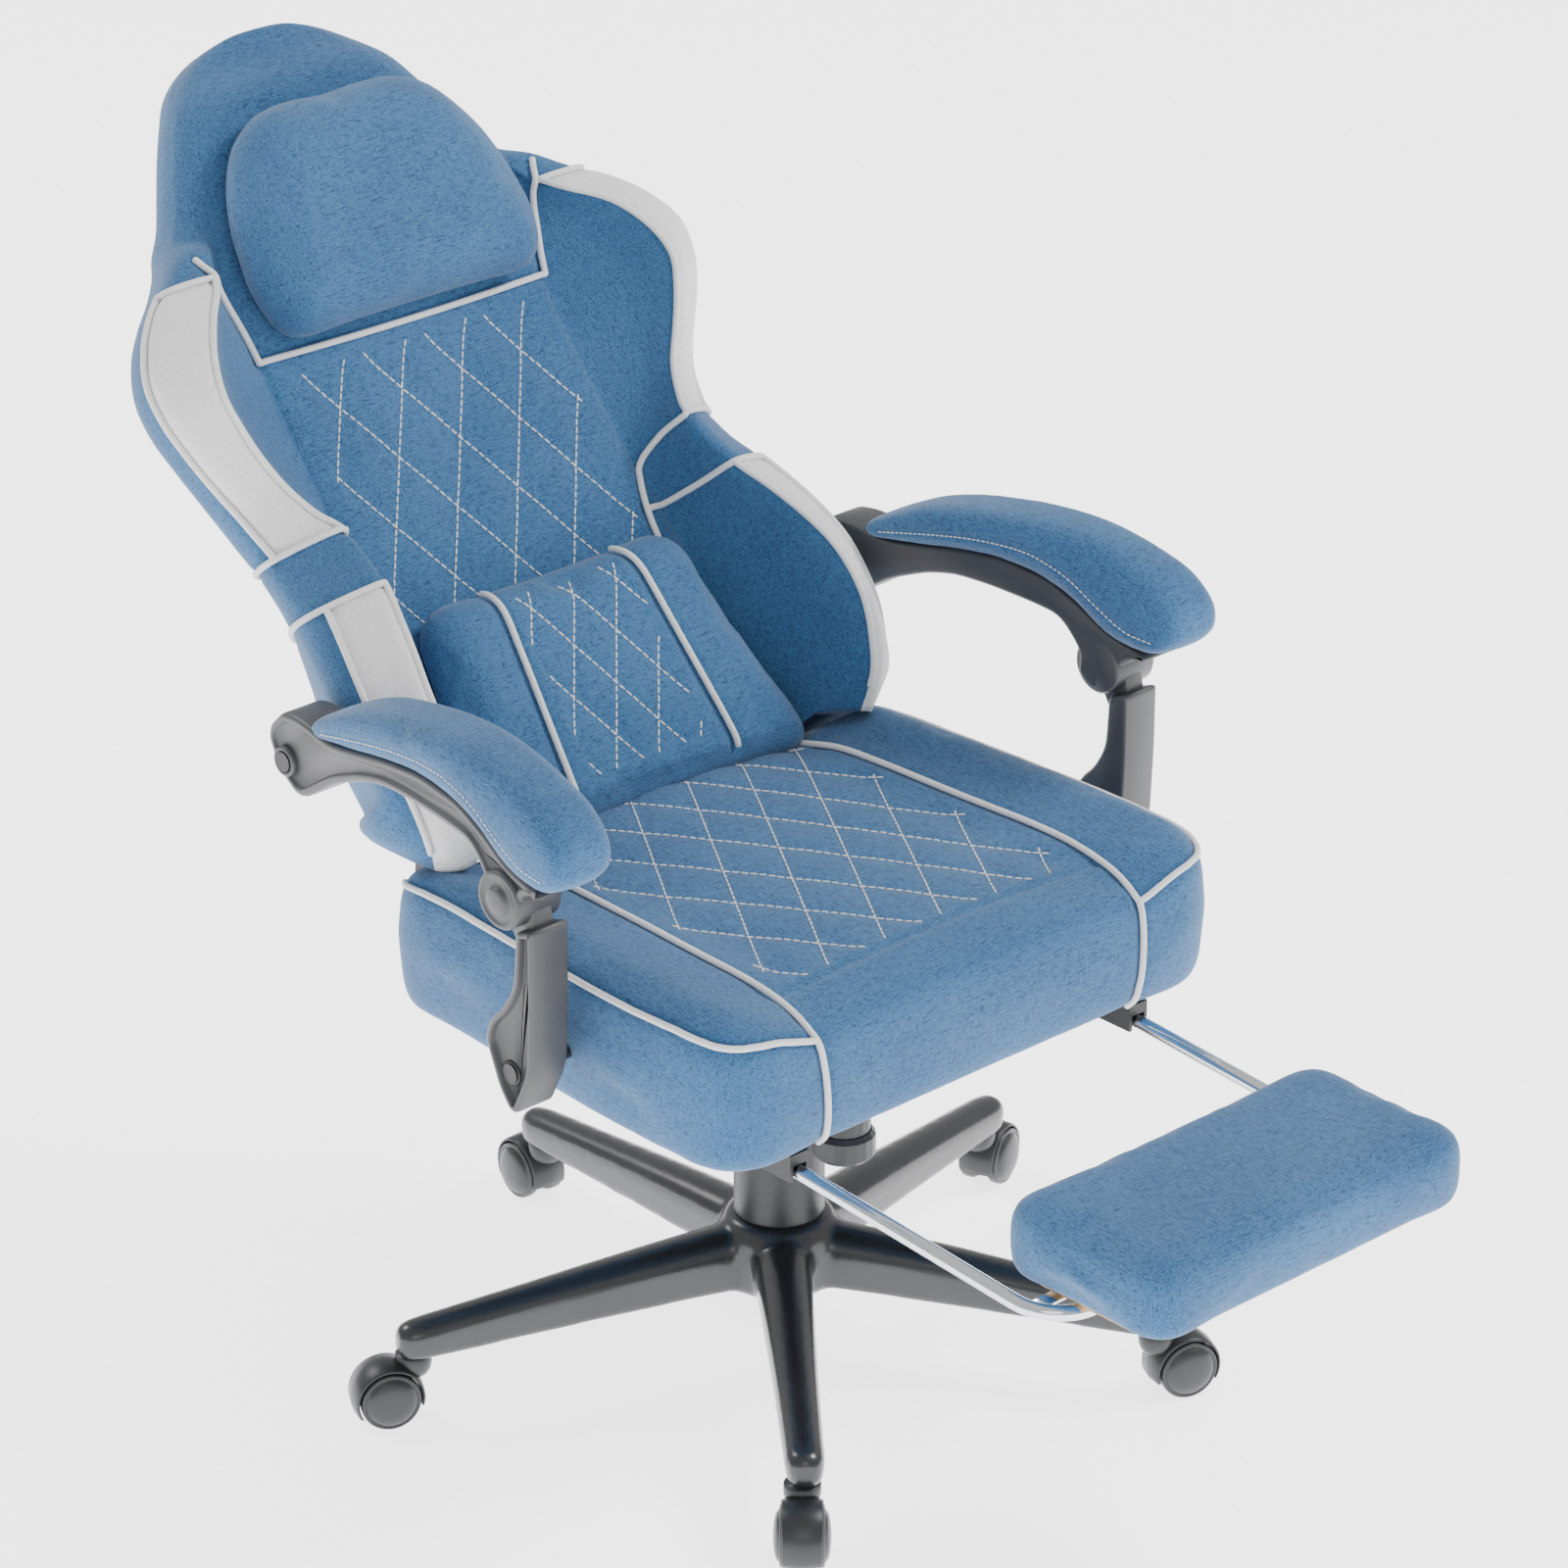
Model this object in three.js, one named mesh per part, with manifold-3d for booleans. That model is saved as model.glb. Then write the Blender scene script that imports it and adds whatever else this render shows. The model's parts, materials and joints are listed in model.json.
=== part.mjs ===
// A reclining gaming chair on a five-leg castor base, with linked armrests and a pull-out footrest.
// Millimetres, +Z up. The sitter faces -Y, and the sitter's left is +X.
// Everything below is set out from the swivel axis; the last lines move the whole chair so that
// the origin lies on the floor under the middle of its bounding box.
import * as THREE from "three";
import { mergeVertices } from "three/addons/utils/BufferGeometryUtils.js";
import Module from "manifold-3d";

const wasm = await Module();
wasm.setup();

// ---------- clearances ----------
const GAP = 0.3; // between pieces that touch
const RUN = 0.5; // between pieces that turn or slide on each other

// ---------- base and castors ----------
const SWIVEL_Y = -42; // the swivel axis, from the middle of the chair's footprint
const LEG_COUNT = 5;
const LEG_RING_R = 305; // castor stems stand on this circle
const FIRST_LEG_ANGLE = 14.5; // degrees from +X
const CASTOR_ANGLES = [20, 84, 155, 227, 340]; // which way each castor trails, leg by leg
const WHEEL_R = 24;
const CASTOR_WIDTH = 44; // over both wheels
const CASTOR_TRAIL = 22; // wheel axle behind the stem
const HOOD_WIDTH = 15; // the part of the hood between the wheels
const STEM_R = 5.5;
const COLLAR_R = 14;
const COLLAR_H = 12;
const TIP_R = 17; // rounded end of each leg
const TIP_TOP = 88;
const TIP_DEPTH = 30;
const ROOT_TOP = 116;
const ROOT_DEPTH = 50;
const ROOT_WIDTH = 46;
const HUB_R = 47;
const HUB_BOTTOM = 63;
const HUB_TOP = 124;

// ---------- gas lift ----------
const CYLINDER_R = 25;
const PISTON_R = 14;
const COVER_R = 35.5;
const COVER_WALL = 2;
const COVER_LOWER_TOP = 224;
const COVER_UPPER_BOTTOM = HUB_TOP + 6;
const HOUSING_BOTTOM = 259;

// ---------- tilt mechanism, under the seat ----------
const HOUSING_WIDTH = 110;
const HOUSING_HEIGHT = 33;
const HOUSING_FRONT = -100;
const HOUSING_REAR = 76;
const TILT_AXIS_Y = 60;
const TILT_AXIS_Z = HOUSING_BOTTOM + 17;
const TILT_PIN_R = 5;
const PLATE_WIDTH = 200;
const PLATE_T = 6;
const KNOB_Y = -74;
const KNOB_R = 25;
const LEVER_R = 4;
const LEVER_PLAY = 1; // room for the lever to rock in the housing

// ---------- seat ----------
const SEAT_WIDTH = 546; // at the front bolsters
const SEAT_TAPER = 20; // each side, from the front bolsters to the rear corners
const SEAT_REAR_WIDTH = SEAT_WIDTH - 2 * SEAT_TAPER;
const SEAT_FRONT_Y = -243;
const SEAT_REAR_Y = 187;
const SEAT_BOTTOM = 325;
const SEAT_THICK = 111;
const BOARD_T = 9;
const BOARD_INSET = 38; // from the cushion's side
const SEAT_TOP = SEAT_BOTTOM + SEAT_THICK;

// ---------- recline brackets, outside the back frame's hinge plates ----------
const BACK_FRAME_X = 150; // middle of each hinge plate
const HINGE_PLATE_T = 8;
const BRACKET_T = 6;
const BRACKET_IN = BACK_FRAME_X + HINGE_PLATE_T / 2 + RUN;
const BRACKET_OUT = BRACKET_IN + BRACKET_T;

// ---------- footrest ----------
const ROD_R = 6;
const RAIL_WALL = 3;
const RAIL_CLEAR = 8; // between the rails and the recline brackets
const ROD_X = BRACKET_OUT + RAIL_CLEAR + RAIL_WALL + RUN + ROD_R;
const ROD_Z = 307;
const ROD_REAR_Y = -40;
const ROD_BEND_Y = -215; // where the rods start to slope down
const CROSSBAR_Y = -480;
const CROSSBAR_Z = 289;
const ROD_BEND_R = 40;
const STRAP_WIDTH = 13;
const STRAP_T = 3;
const PAD_INSIDE = 9.5; // from the middle of each rod in to the pad's side
const PAD_WIDTH = 2 * (ROD_X - PAD_INSIDE);
const PAD_FRONT_Y = -573;
const PAD_REAR_Y = -404;
const PAD_THICK = 60;

// ---------- back ----------
const RECLINE_REST = 39; // degrees from upright
const HINGE_Y = 223;
const HINGE_DROP = 50; // below the seat's top
const HINGE_Z = SEAT_TOP - HINGE_DROP;
const HINGE_PLATE_R = 22;
const HINGE_PIN_R = 6;
const BACK_FRAME_TUBE_R = 11;
const BACK_HEIGHT = 684; // hinge to crown, along the back
const BACK_WIDTH = 536; // over the shoulder wings
const BACK_FRONT = 62; // centre panel in front of the hinge line
const BACK_REAR = -30;
const BACK_START = 52; // lower edge of the padding above the hinge
const HIP_WIDTH = 508;
const CORE_HALF_HIP = 162;
const CORE_HALF_SHOULDER = 150;
const HEAD_PILLOW_T = 62;
const LUMBAR_T = 38;

// ---------- armrests ----------
const UPRIGHT_WIDTH = 36;
const ARM_CLEAR = 15; // between the cushion's side and an upright
const ARM_X = SEAT_WIDTH / 2 + ARM_CLEAR + UPRIGHT_WIDTH / 2; // middle of each upright
const ARM_WIDTH = 40;
const ARM_PAD_WIDTH = 62;
const ARM_TOE = 0.09; // the beams run inwards towards the rear by this slope
const TONGUE_WIDTH = 20;
const FOOT_Y = -56;
const FOOT_DROP = 58; // below the seat's top
const FOOT_Z = SEAT_TOP - FOOT_DROP;
const ELBOW_Y = -56;
const UPRIGHT_RISE = 144; // foot to elbow
const ELBOW_Z = FOOT_Z + UPRIGHT_RISE;
const LUG_R = 23;
const ARM_BOLT_R = 6;
const BUTTON_R = 8; // bolt heads
const BOLT_REACH = 40; // into the seat; half of it into the back
const POCKET_DEPTH = 6; // the hollow in each upright's outer face
// The rear bolt closes the parallelogram foot, elbow, rear bolt, back hinge.
const REAR_BOLT_Y = HINGE_Y + (ELBOW_Y - FOOT_Y);
const REAR_BOLT_Z = HINGE_Z + UPRIGHT_RISE;

const SIDES = [
  { name: "left", sign: 1 },
  { name: "right", sign: -1 },
];

// ---------- materials ----------
const finish = (color, roughness, metalness = 0) =>
  new THREE.MeshStandardMaterial({ color, roughness, metalness });
const blueFabric = finish(0x3f6f9f, 0.95);
const blackMetal = finish(0x141516, 0.3, 0.6);
const blackPlastic = finish(0x2a2b2c, 0.5);
const greyPlastic = finish(0x4a4b4c, 0.55);
const chrome = finish(0xd8d9db, 0.12, 1);
const steel = finish(0x8d8f92, 0.4, 0.9);
const plywood = finish(0xb08a5a, 0.8);

// ---------- geometry helpers ----------
function solid(geometry) {
  const g = geometry.index ? geometry.toNonIndexed() : geometry.clone();
  for (const name of Object.keys(g.attributes)) {
    if (name !== "position") g.deleteAttribute(name);
  }
  const merged = mergeVertices(g, 1e-3);
  const vertProperties = merged.attributes.position.array;
  const triVerts = new Uint32Array(merged.index.array);
  return new wasm.Manifold(new wasm.Mesh({ numProp: 3, vertProperties, triVerts }));
}

function geometryOf(body) {
  const mesh = body.getMesh();
  const g = new THREE.BufferGeometry();
  g.setAttribute("position", new THREE.BufferAttribute(mesh.vertProperties, 3));
  g.setIndex(new THREE.BufferAttribute(mesh.triVerts, 1));
  return g;
}

const join = (...parts) => geometryOf(parts.map(solid).reduce((a, b) => a.add(b)));

const cut = (body, ...tools) =>
  geometryOf(tools.map(solid).reduce((a, b) => a.subtract(b), solid(body)));

// Turns a closed geometry's faces outwards if they point inwards.
function outward(geometry) {
  const g = geometry.index ? geometry.toNonIndexed() : geometry;
  const p = g.attributes.position;
  const [a, b, c] = [new THREE.Vector3(), new THREE.Vector3(), new THREE.Vector3()];
  let volume = 0;
  for (let i = 0; i < p.count; i += 3) {
    a.fromBufferAttribute(p, i);
    b.fromBufferAttribute(p, i + 1);
    c.fromBufferAttribute(p, i + 2);
    volume += a.dot(b.cross(c));
  }
  if (volume >= 0) return g;
  for (let i = 0; i < p.count; i += 3) {
    b.fromBufferAttribute(p, i + 1);
    c.fromBufferAttribute(p, i + 2);
    p.setXYZ(i + 1, c.x, c.y, c.z);
    p.setXYZ(i + 2, b.x, b.y, b.z);
  }
  return g;
}

const onSide = (geometry, sign) =>
  outward(sign > 0 ? geometry : geometry.clone().scale(-1, 1, 1));

function box(x0, x1, y0, y1, z0, z1) {
  const g = new THREE.BoxGeometry(x1 - x0, y1 - y0, z1 - z0);
  return g.translate((x0 + x1) / 2, (y0 + y1) / 2, (z0 + z1) / 2);
}

const rodX = (radius, x0, x1, y, z, sides = 14) =>
  new THREE.CylinderGeometry(radius, radius, x1 - x0, sides)
    .rotateZ(Math.PI / 2)
    .translate((x0 + x1) / 2, y, z);

const rodZ = (radius, x, y, z0, z1, sides = 18) =>
  new THREE.CylinderGeometry(radius, radius, z1 - z0, sides)
    .rotateX(Math.PI / 2)
    .translate(x, y, (z0 + z1) / 2);

// A turned piece about Z from [radius, height] pairs that start and end on the axis, or close.
const turned = (profile, sides = 24) =>
  outward(
    new THREE.LatheGeometry(
      profile.map(([r, h]) => new THREE.Vector2(r, h)),
      sides,
    ).rotateX(Math.PI / 2),
  );

// A ring-shaped sleeve about Z.
const sleeve = (inner, outer, z0, z1, sides = 24) =>
  turned([[inner, z0], [outer, z0], [outer, z1], [inner, z1], [inner, z0]], sides);

// An outline drawn in the (y, z) plane and extruded along X.
function slabX(shape, x0, x1, bevel = 0, curveSegments = 4) {
  const g = new THREE.ExtrudeGeometry(shape, {
    depth: x1 - x0 - 2 * bevel,
    curveSegments,
    bevelEnabled: bevel > 0,
    bevelThickness: bevel,
    bevelSize: bevel,
    bevelOffset: -bevel,
    bevelSegments: 1,
  });
  const axes = new THREE.Matrix4().makeBasis(
    new THREE.Vector3(0, 1, 0),
    new THREE.Vector3(0, 0, 1),
    new THREE.Vector3(1, 0, 0),
  );
  return g.applyMatrix4(axes).translate(x0 + bevel, 0, 0);
}

// An outline drawn in the (x, y) plane and extruded upwards.
function slabZ(shape, z0, z1, bevel = 0, curveSegments = 4) {
  const g = new THREE.ExtrudeGeometry(shape, {
    depth: z1 - z0 - 2 * bevel,
    curveSegments,
    bevelEnabled: bevel > 0,
    bevelThickness: bevel,
    bevelSize: bevel,
    bevelOffset: -bevel,
    bevelSegments: 1,
  });
  return g.translate(0, 0, z0 + bevel);
}

// A closed outline through corner points [x, y, radius], each corner rounded.
function rounded(corners) {
  const shape = new THREE.Shape();
  const point = (i) => {
    const [x, y] = corners[(i + corners.length) % corners.length];
    return new THREE.Vector2(x, y);
  };
  corners.forEach(([x, y, radius = 0], i) => {
    const corner = new THREE.Vector2(x, y);
    const before = point(i - 1).sub(corner);
    const after = point(i + 1).sub(corner);
    // A fillet never takes more than its share of the shorter edge beside it.
    const reach = Math.min(radius, 0.48 * before.length(), 0.48 * after.length());
    before.setLength(reach).add(corner);
    after.setLength(reach).add(corner);
    if (i === 0) shape.moveTo(before.x, before.y);
    else shape.lineTo(before.x, before.y);
    if (reach > 0) shape.quadraticCurveTo(x, y, after.x, after.y);
  });
  shape.closePath();
  return shape;
}

// The same corners on both sides of x = 0, given for x > 0 from front to rear.
const symmetric = (corners) =>
  rounded([...corners, ...corners.map(([x, y, r]) => [-x, y, r]).reverse()]);

// A solid through closed rings of equal point count, capped flat at both ends.
function loft(rings) {
  const count = rings[0].length;
  const positions = [];
  const triangle = (a, b, c) => positions.push(...a.toArray(), ...b.toArray(), ...c.toArray());
  for (let k = 0; k + 1 < rings.length; k++) {
    for (let i = 0; i < count; i++) {
      const j = (i + 1) % count;
      triangle(rings[k][i], rings[k][j], rings[k + 1][j]);
      triangle(rings[k][i], rings[k + 1][j], rings[k + 1][i]);
    }
  }
  const last = rings[rings.length - 1];
  for (let i = 1; i + 1 < count; i++) {
    triangle(rings[0][0], rings[0][i + 1], rings[0][i]);
    triangle(last[0], last[i], last[i + 1]);
  }
  const g = new THREE.BufferGeometry();
  g.setAttribute("position", new THREE.Float32BufferAttribute(positions, 3));
  return outward(g);
}

// A round bar along a path of straight runs and bends.
function bar(path, radius, steps, sides = 8) {
  const section = new THREE.Shape().absarc(0, 0, radius, 0, 2 * Math.PI);
  return outward(
    new THREE.ExtrudeGeometry(section, {
      steps,
      curveSegments: sides / 2,
      bevelEnabled: false,
      extrudePath: path,
    }),
  );
}

function bend(path, corner, towards, radius) {
  const from = path.userData;
  const before = from.clone().sub(corner).setLength(radius).add(corner);
  const after = towards.clone().sub(corner).setLength(radius).add(corner);
  path.add(new THREE.LineCurve3(from, before));
  path.add(new THREE.QuadraticBezierCurve3(before, corner, after));
  path.userData = after;
}

// A path through points, with each inner corner bent to its radius.
function bentPath(points, radii) {
  const path = new THREE.CurvePath();
  path.userData = points[0];
  radii.forEach((radius, i) => bend(path, points[i + 1], points[i + 2], radius));
  path.add(new THREE.LineCurve3(path.userData, points[points.length - 1]));
  delete path.userData;
  return path;
}

const chair = new THREE.Group();

function piece(name, geometry, material, parent = chair) {
  const mesh = new THREE.Mesh(geometry, material);
  mesh.name = name;
  parent.add(mesh);
  return mesh;
}

// ---------- base ----------
function baseHub() {
  const profile = [
    [CYLINDER_R + GAP, HUB_BOTTOM],
    [HUB_R, HUB_BOTTOM],
    [HUB_R, HUB_TOP - 12],
    [HUB_R - 8, HUB_TOP],
    [CYLINDER_R + GAP, HUB_TOP],
    [CYLINDER_R + GAP, HUB_BOTTOM],
  ];
  return turned(profile, 30);
}

// One leg along +X: a bar with a rounded top that narrows to a domed end over the castor stem.
function baseLeg() {
  const section = (x, width, top, depth) => {
    const half = width / 2;
    const arc = [];
    for (let i = 0; i <= 6; i++) {
      const a = (Math.PI * i) / 6;
      arc.push(new THREE.Vector3(x, half * Math.cos(a), top - half + half * Math.sin(a)));
    }
    const foot = half * 0.9;
    return [
      ...arc,
      new THREE.Vector3(x, -foot, top - depth),
      new THREE.Vector3(x, foot, top - depth),
    ];
  };
  const leg = loft([
    section(HUB_R + GAP, ROOT_WIDTH, ROOT_TOP, ROOT_DEPTH),
    section(LEG_RING_R, 2 * TIP_R - 2, TIP_TOP - 2, TIP_DEPTH - 2),
  ]);
  const tip = turned(
    [
      [0, TIP_TOP - TIP_DEPTH],
      [TIP_R, TIP_TOP - TIP_DEPTH],
      [TIP_R, TIP_TOP - 12],
      [TIP_R * 0.7, TIP_TOP - 3],
      [0, TIP_TOP],
    ],
    20,
  ).translate(LEG_RING_R, 0, 0);
  const socket = rodZ(STEM_R + GAP, LEG_RING_R, 0, TIP_TOP - TIP_DEPTH - 5, TIP_TOP - 7, 10);
  return cut(join(leg, tip), socket);
}

// ---------- castors, stem on the local Z axis, trailing along +X ----------
function castorHood() {
  const axle = new THREE.Vector2(CASTOR_TRAIL, WHEEL_R);
  const hoodR = WHEEL_R - 1;
  const body = new THREE.CylinderGeometry(hoodR, hoodR, HOOD_WIDTH, 18).translate(
    axle.x,
    0,
    axle.y,
  );
  const floorCut = box(-60, 90, -30, 30, -10, 9);
  const collarTop = TIP_TOP - TIP_DEPTH - GAP;
  const collar = rodZ(COLLAR_R, 0, 0, collarTop - COLLAR_H, collarTop);
  const neck = box(-7, CASTOR_TRAIL, -HOOD_WIDTH / 2, HOOD_WIDTH / 2, 24, collarTop - 3);
  const stem = rodZ(STEM_R, 0, 0, collarTop - 4, TIP_TOP - 8, 10);
  const bore = new THREE.CylinderGeometry(3 + GAP, 3 + GAP, 60, 10).translate(axle.x, 0, axle.y);
  const wheelRoom = [1, -1].map((s) =>
    new THREE.CylinderGeometry(WHEEL_R + 1, WHEEL_R + 1, 20, 18).translate(
      axle.x,
      s * (HOOD_WIDTH / 2 + RUN / 2 + 10),
      axle.y,
    ),
  );
  return cut(join(cut(body, floorCut), collar, neck, stem), bore, ...wheelRoom);
}

// Both wheels and their axle, turned about the local Y axis.
function castorWheels() {
  const inner = HOOD_WIDTH / 2 + RUN;
  const outer = CASTOR_WIDTH / 2;
  const half = [
    [3, inner],
    [WHEEL_R, inner],
    [WHEEL_R, outer - 5],
    [WHEEL_R - 4, outer - 1],
    [0, outer],
  ];
  const mirror = half.map(([r, h]) => [r, -h]).reverse();
  return outward(
    new THREE.LatheGeometry(
      [...mirror, ...half].map(([r, h]) => new THREE.Vector2(r, h)),
      18,
    ),
  ).translate(CASTOR_TRAIL, 0, WHEEL_R);
}

function addBase() {
  piece("base_hub", baseHub(), blackMetal);
  for (let i = 0; i < LEG_COUNT; i++) {
    const number = i + 1;
    const angle = THREE.MathUtils.degToRad(FIRST_LEG_ANGLE + (360 / LEG_COUNT) * i);
    piece("base_leg_" + number, baseLeg(), blackMetal).rotation.z = angle;
    const castor = new THREE.Group();
    castor.position.set(LEG_RING_R * Math.cos(angle), LEG_RING_R * Math.sin(angle), 0);
    castor.rotation.z = THREE.MathUtils.degToRad(CASTOR_ANGLES[i]);
    chair.add(castor);
    piece("castor_hood_" + number, castorHood(), blackPlastic, castor);
    piece("castor_wheels_" + number, castorWheels(), blackPlastic, castor);
  }
}

// ---------- gas lift ----------
function addLift() {
  const floor = HUB_BOTTOM + 2;
  const cylinderTop = COVER_LOWER_TOP - 6;
  const bore = PISTON_R + GAP;
  const cylinder = turned(
    [
      [0, floor],
      [CYLINDER_R, floor],
      [CYLINDER_R, cylinderTop],
      [bore, cylinderTop],
      [bore, floor + 12],
      [0, floor + 12],
    ],
    24,
  );
  piece("lift_cylinder", cylinder, steel);
  piece("lift_piston", rodZ(PISTON_R, 0, 0, floor + 14, HOUSING_BOTTOM + 22), chrome);
  const lowerFoot = HUB_TOP + GAP;
  const lower = sleeve(COVER_R - COVER_WALL, COVER_R, lowerFoot, COVER_LOWER_TOP);
  piece("lift_cover_lower", lower, blackPlastic);
  const upperR = COVER_R - COVER_WALL - 1;
  const top = HOUSING_BOTTOM - 5;
  const upper = turned(
    [
      [upperR - COVER_WALL, COVER_UPPER_BOTTOM],
      [upperR, COVER_UPPER_BOTTOM],
      [upperR, top],
      [PISTON_R + GAP, top],
      [PISTON_R + GAP, top - COVER_WALL],
      [upperR - COVER_WALL, top - COVER_WALL],
      [upperR - COVER_WALL, COVER_UPPER_BOTTOM],
    ],
    24,
  );
  piece("lift_cover_upper", upper, blackPlastic);
}

// ---------- tilt mechanism ----------
function addMechanism() {
  const half = HOUSING_WIDTH / 2;
  const top = HOUSING_BOTTOM + HOUSING_HEIGHT;
  const body = slabZ(
    symmetric([
      [half, HOUSING_FRONT, 14],
      [half, HOUSING_REAR, 6],
    ]),
    HOUSING_BOTTOM,
    top,
  );
  const boltHole = rodZ(5 + GAP, 0, KNOB_Y, HOUSING_BOTTOM - 5, top + 5, 12);
  const pistonSocket = rodZ(PISTON_R + GAP, 0, 0, HOUSING_BOTTOM - 5, HOUSING_BOTTOM + 23);
  const pinHole = rodX(TILT_PIN_R + GAP, -half - 5, half + 5, TILT_AXIS_Y, TILT_AXIS_Z);
  const leverZ = HOUSING_BOTTOM + 12;
  const leverHole = rodX(LEVER_R + LEVER_PLAY, half - 12, half + 5, 0, leverZ);
  const housing = cut(body, boltHole, pistonSocket, pinHole, leverHole);
  piece("tilt_housing", housing, blackMetal);

  const plateTop = SEAT_BOARD_BOTTOM - GAP;
  const ear = { in: half + RUN, out: half + RUN + 5 };
  const plate = box(
    -PLATE_WIDTH / 2,
    PLATE_WIDTH / 2,
    HOUSING_FRONT - 15,
    HOUSING_REAR + 30,
    plateTop - PLATE_T,
    plateTop,
  );
  const ears = SIDES.map(({ sign }) =>
    onSide(box(ear.in, ear.out, TILT_AXIS_Y - 14, TILT_AXIS_Y + 14, TILT_AXIS_Z - 12, plateTop - 1), sign),
  );
  const earHole = rodX(TILT_PIN_R + GAP, -ear.out - 5, ear.out + 5, TILT_AXIS_Y, TILT_AXIS_Z);
  piece("tilt_plate", cut(join(plate, ...ears), earHole), blackMetal);
  const pin = rodX(TILT_PIN_R, -ear.out - 4, ear.out + 4, TILT_AXIS_Y, TILT_AXIS_Z);
  piece("tilt_pin", pin, steel);

  const barrelTop = HOUSING_BOTTOM - GAP;
  const barrel = sleeve(5 + GAP, KNOB_R - 4, barrelTop - 34, barrelTop, 18);
  piece("spring_barrel", barrel.translate(0, KNOB_Y, 0), blackPlastic);
  const knobTop = barrelTop - 34 - GAP;
  const knob = turned(
    [
      [0, knobTop - 24],
      [KNOB_R - 4, knobTop - 24],
      [KNOB_R, knobTop - 20],
      [KNOB_R, knobTop - 4],
      [KNOB_R - 3, knobTop],
      [5, knobTop],
      [5, top - 6],
      [0, top - 6],
    ],
    18,
  );
  piece("tension_knob", knob.translate(0, KNOB_Y, 0), blackPlastic);

  const reach = SEAT_WIDTH / 2 - 28;
  const lever = join(
    rodX(LEVER_R, half - 10, reach, 0, leverZ, 14),
    box(reach - 52, reach, -13, 13, leverZ - 5, leverZ + 5),
  );
  piece("height_lever", lever, blackPlastic);
}

// ---------- seat ----------
const SEAT_BOARD_BOTTOM = SEAT_BOTTOM - 2;

function addSeat() {
  const front = SEAT_WIDTH / 2;
  const rear = SEAT_REAR_WIDTH / 2;
  const outline = symmetric([
    [front - 10, SEAT_FRONT_Y, 74],
    [front, SEAT_FRONT_Y + 125, 45],
    [rear, SEAT_REAR_Y, 44],
  ]);
  const cushion = slabZ(outline, SEAT_BOTTOM, SEAT_TOP, 14);
  const boardTop = SEAT_BOARD_BOTTOM + BOARD_T;
  const boardHalf = rear - BOARD_INSET;
  const boardFront = SEAT_FRONT_Y + BOARD_INSET;
  const boardRear = SEAT_REAR_Y - BOARD_INSET;
  const pocket = box(
    -boardHalf - GAP,
    boardHalf + GAP,
    boardFront - GAP,
    boardRear + GAP,
    SEAT_BOTTOM - 5,
    boardTop + GAP,
  );
  const boltHoles = rodX(ARM_BOLT_R + GAP, -front - 10, front + 10, FOOT_Y, FOOT_Z, 20);
  const middle = box(-front + 45, front - 45, FOOT_Y - 20, FOOT_Y + 20, FOOT_Z - 20, FOOT_Z + 20);
  piece("seat_cushion", cut(cushion, pocket, cut(boltHoles, middle)), blueFabric);
  const board = box(-boardHalf, boardHalf, boardFront, boardRear, SEAT_BOARD_BOTTOM, boardTop);
  piece("seat_board", board, plywood);
}

// ---------- footrest ----------
function addFootrest() {
  // An inverted channel over each rod, open below so that the sloping part can enter it.
  const railTop = SEAT_BOARD_BOTTOM - GAP;
  const innerX = ROD_R + RUN;
  const outerX = innerX + RAIL_WALL;
  const railFront = ROD_BEND_Y;
  const railRear = 120;
  for (const { name, sign } of SIDES) {
    const shell = box(
      ROD_X - outerX,
      ROD_X + outerX,
      railFront,
      railRear,
      ROD_Z - ROD_R,
      railTop,
    );
    const room = box(
      ROD_X - innerX,
      ROD_X + innerX,
      railFront - 5,
      railRear + 5,
      ROD_Z - ROD_R - 5,
      ROD_Z + ROD_R + RUN,
    );
    piece("footrest_rail_" + name, onSide(cut(shell, room), sign), blackMetal);
  }

  const at = (x, y, z) => new THREE.Vector3(x, y, z);
  const points = [
    at(ROD_X, ROD_REAR_Y, ROD_Z),
    at(ROD_X, ROD_BEND_Y, ROD_Z),
    at(ROD_X, CROSSBAR_Y, CROSSBAR_Z),
    at(-ROD_X, CROSSBAR_Y, CROSSBAR_Z),
    at(-ROD_X, ROD_BEND_Y, ROD_Z),
    at(-ROD_X, ROD_REAR_Y, ROD_Z),
  ];
  const path = bentPath(points, [8, ROD_BEND_R, ROD_BEND_R, 8]);
  // A flat strap is welded between the rods just behind the crossbar.
  const strapY = CROSSBAR_Y + STRAP_WIDTH / 2 + 20;
  const slope = (ROD_Z - CROSSBAR_Z) / (ROD_BEND_Y - CROSSBAR_Y);
  const strapZ = CROSSBAR_Z + slope * (strapY - CROSSBAR_Y);
  const strapHalf = ROD_X - ROD_R / 2;
  const strap = box(
    -strapHalf,
    strapHalf,
    strapY - STRAP_WIDTH / 2,
    strapY + STRAP_WIDTH / 2,
    strapZ - STRAP_T / 2,
    strapZ + STRAP_T / 2,
  );
  piece("footrest_frame", join(bar(path, ROD_R, 44), strap), chrome);

  const padBottom = CROSSBAR_Z + ROD_R + RUN;
  const half = PAD_WIDTH / 2;
  const outline = symmetric([
    [half, PAD_FRONT_Y, 34],
    [half, PAD_REAR_Y, 34],
  ]);
  const base = padBottom + 6;
  const inset = 16;
  const boardOutline = symmetric([
    [half - inset, PAD_FRONT_Y + inset, 24],
    [half - inset, PAD_REAR_Y - inset, 24],
  ]);
  piece("footrest_board", slabZ(boardOutline, padBottom, base), plywood);
  piece("footrest_pad", slabZ(outline, base + GAP, padBottom + PAD_THICK, 9), blueFabric);
}

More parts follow.
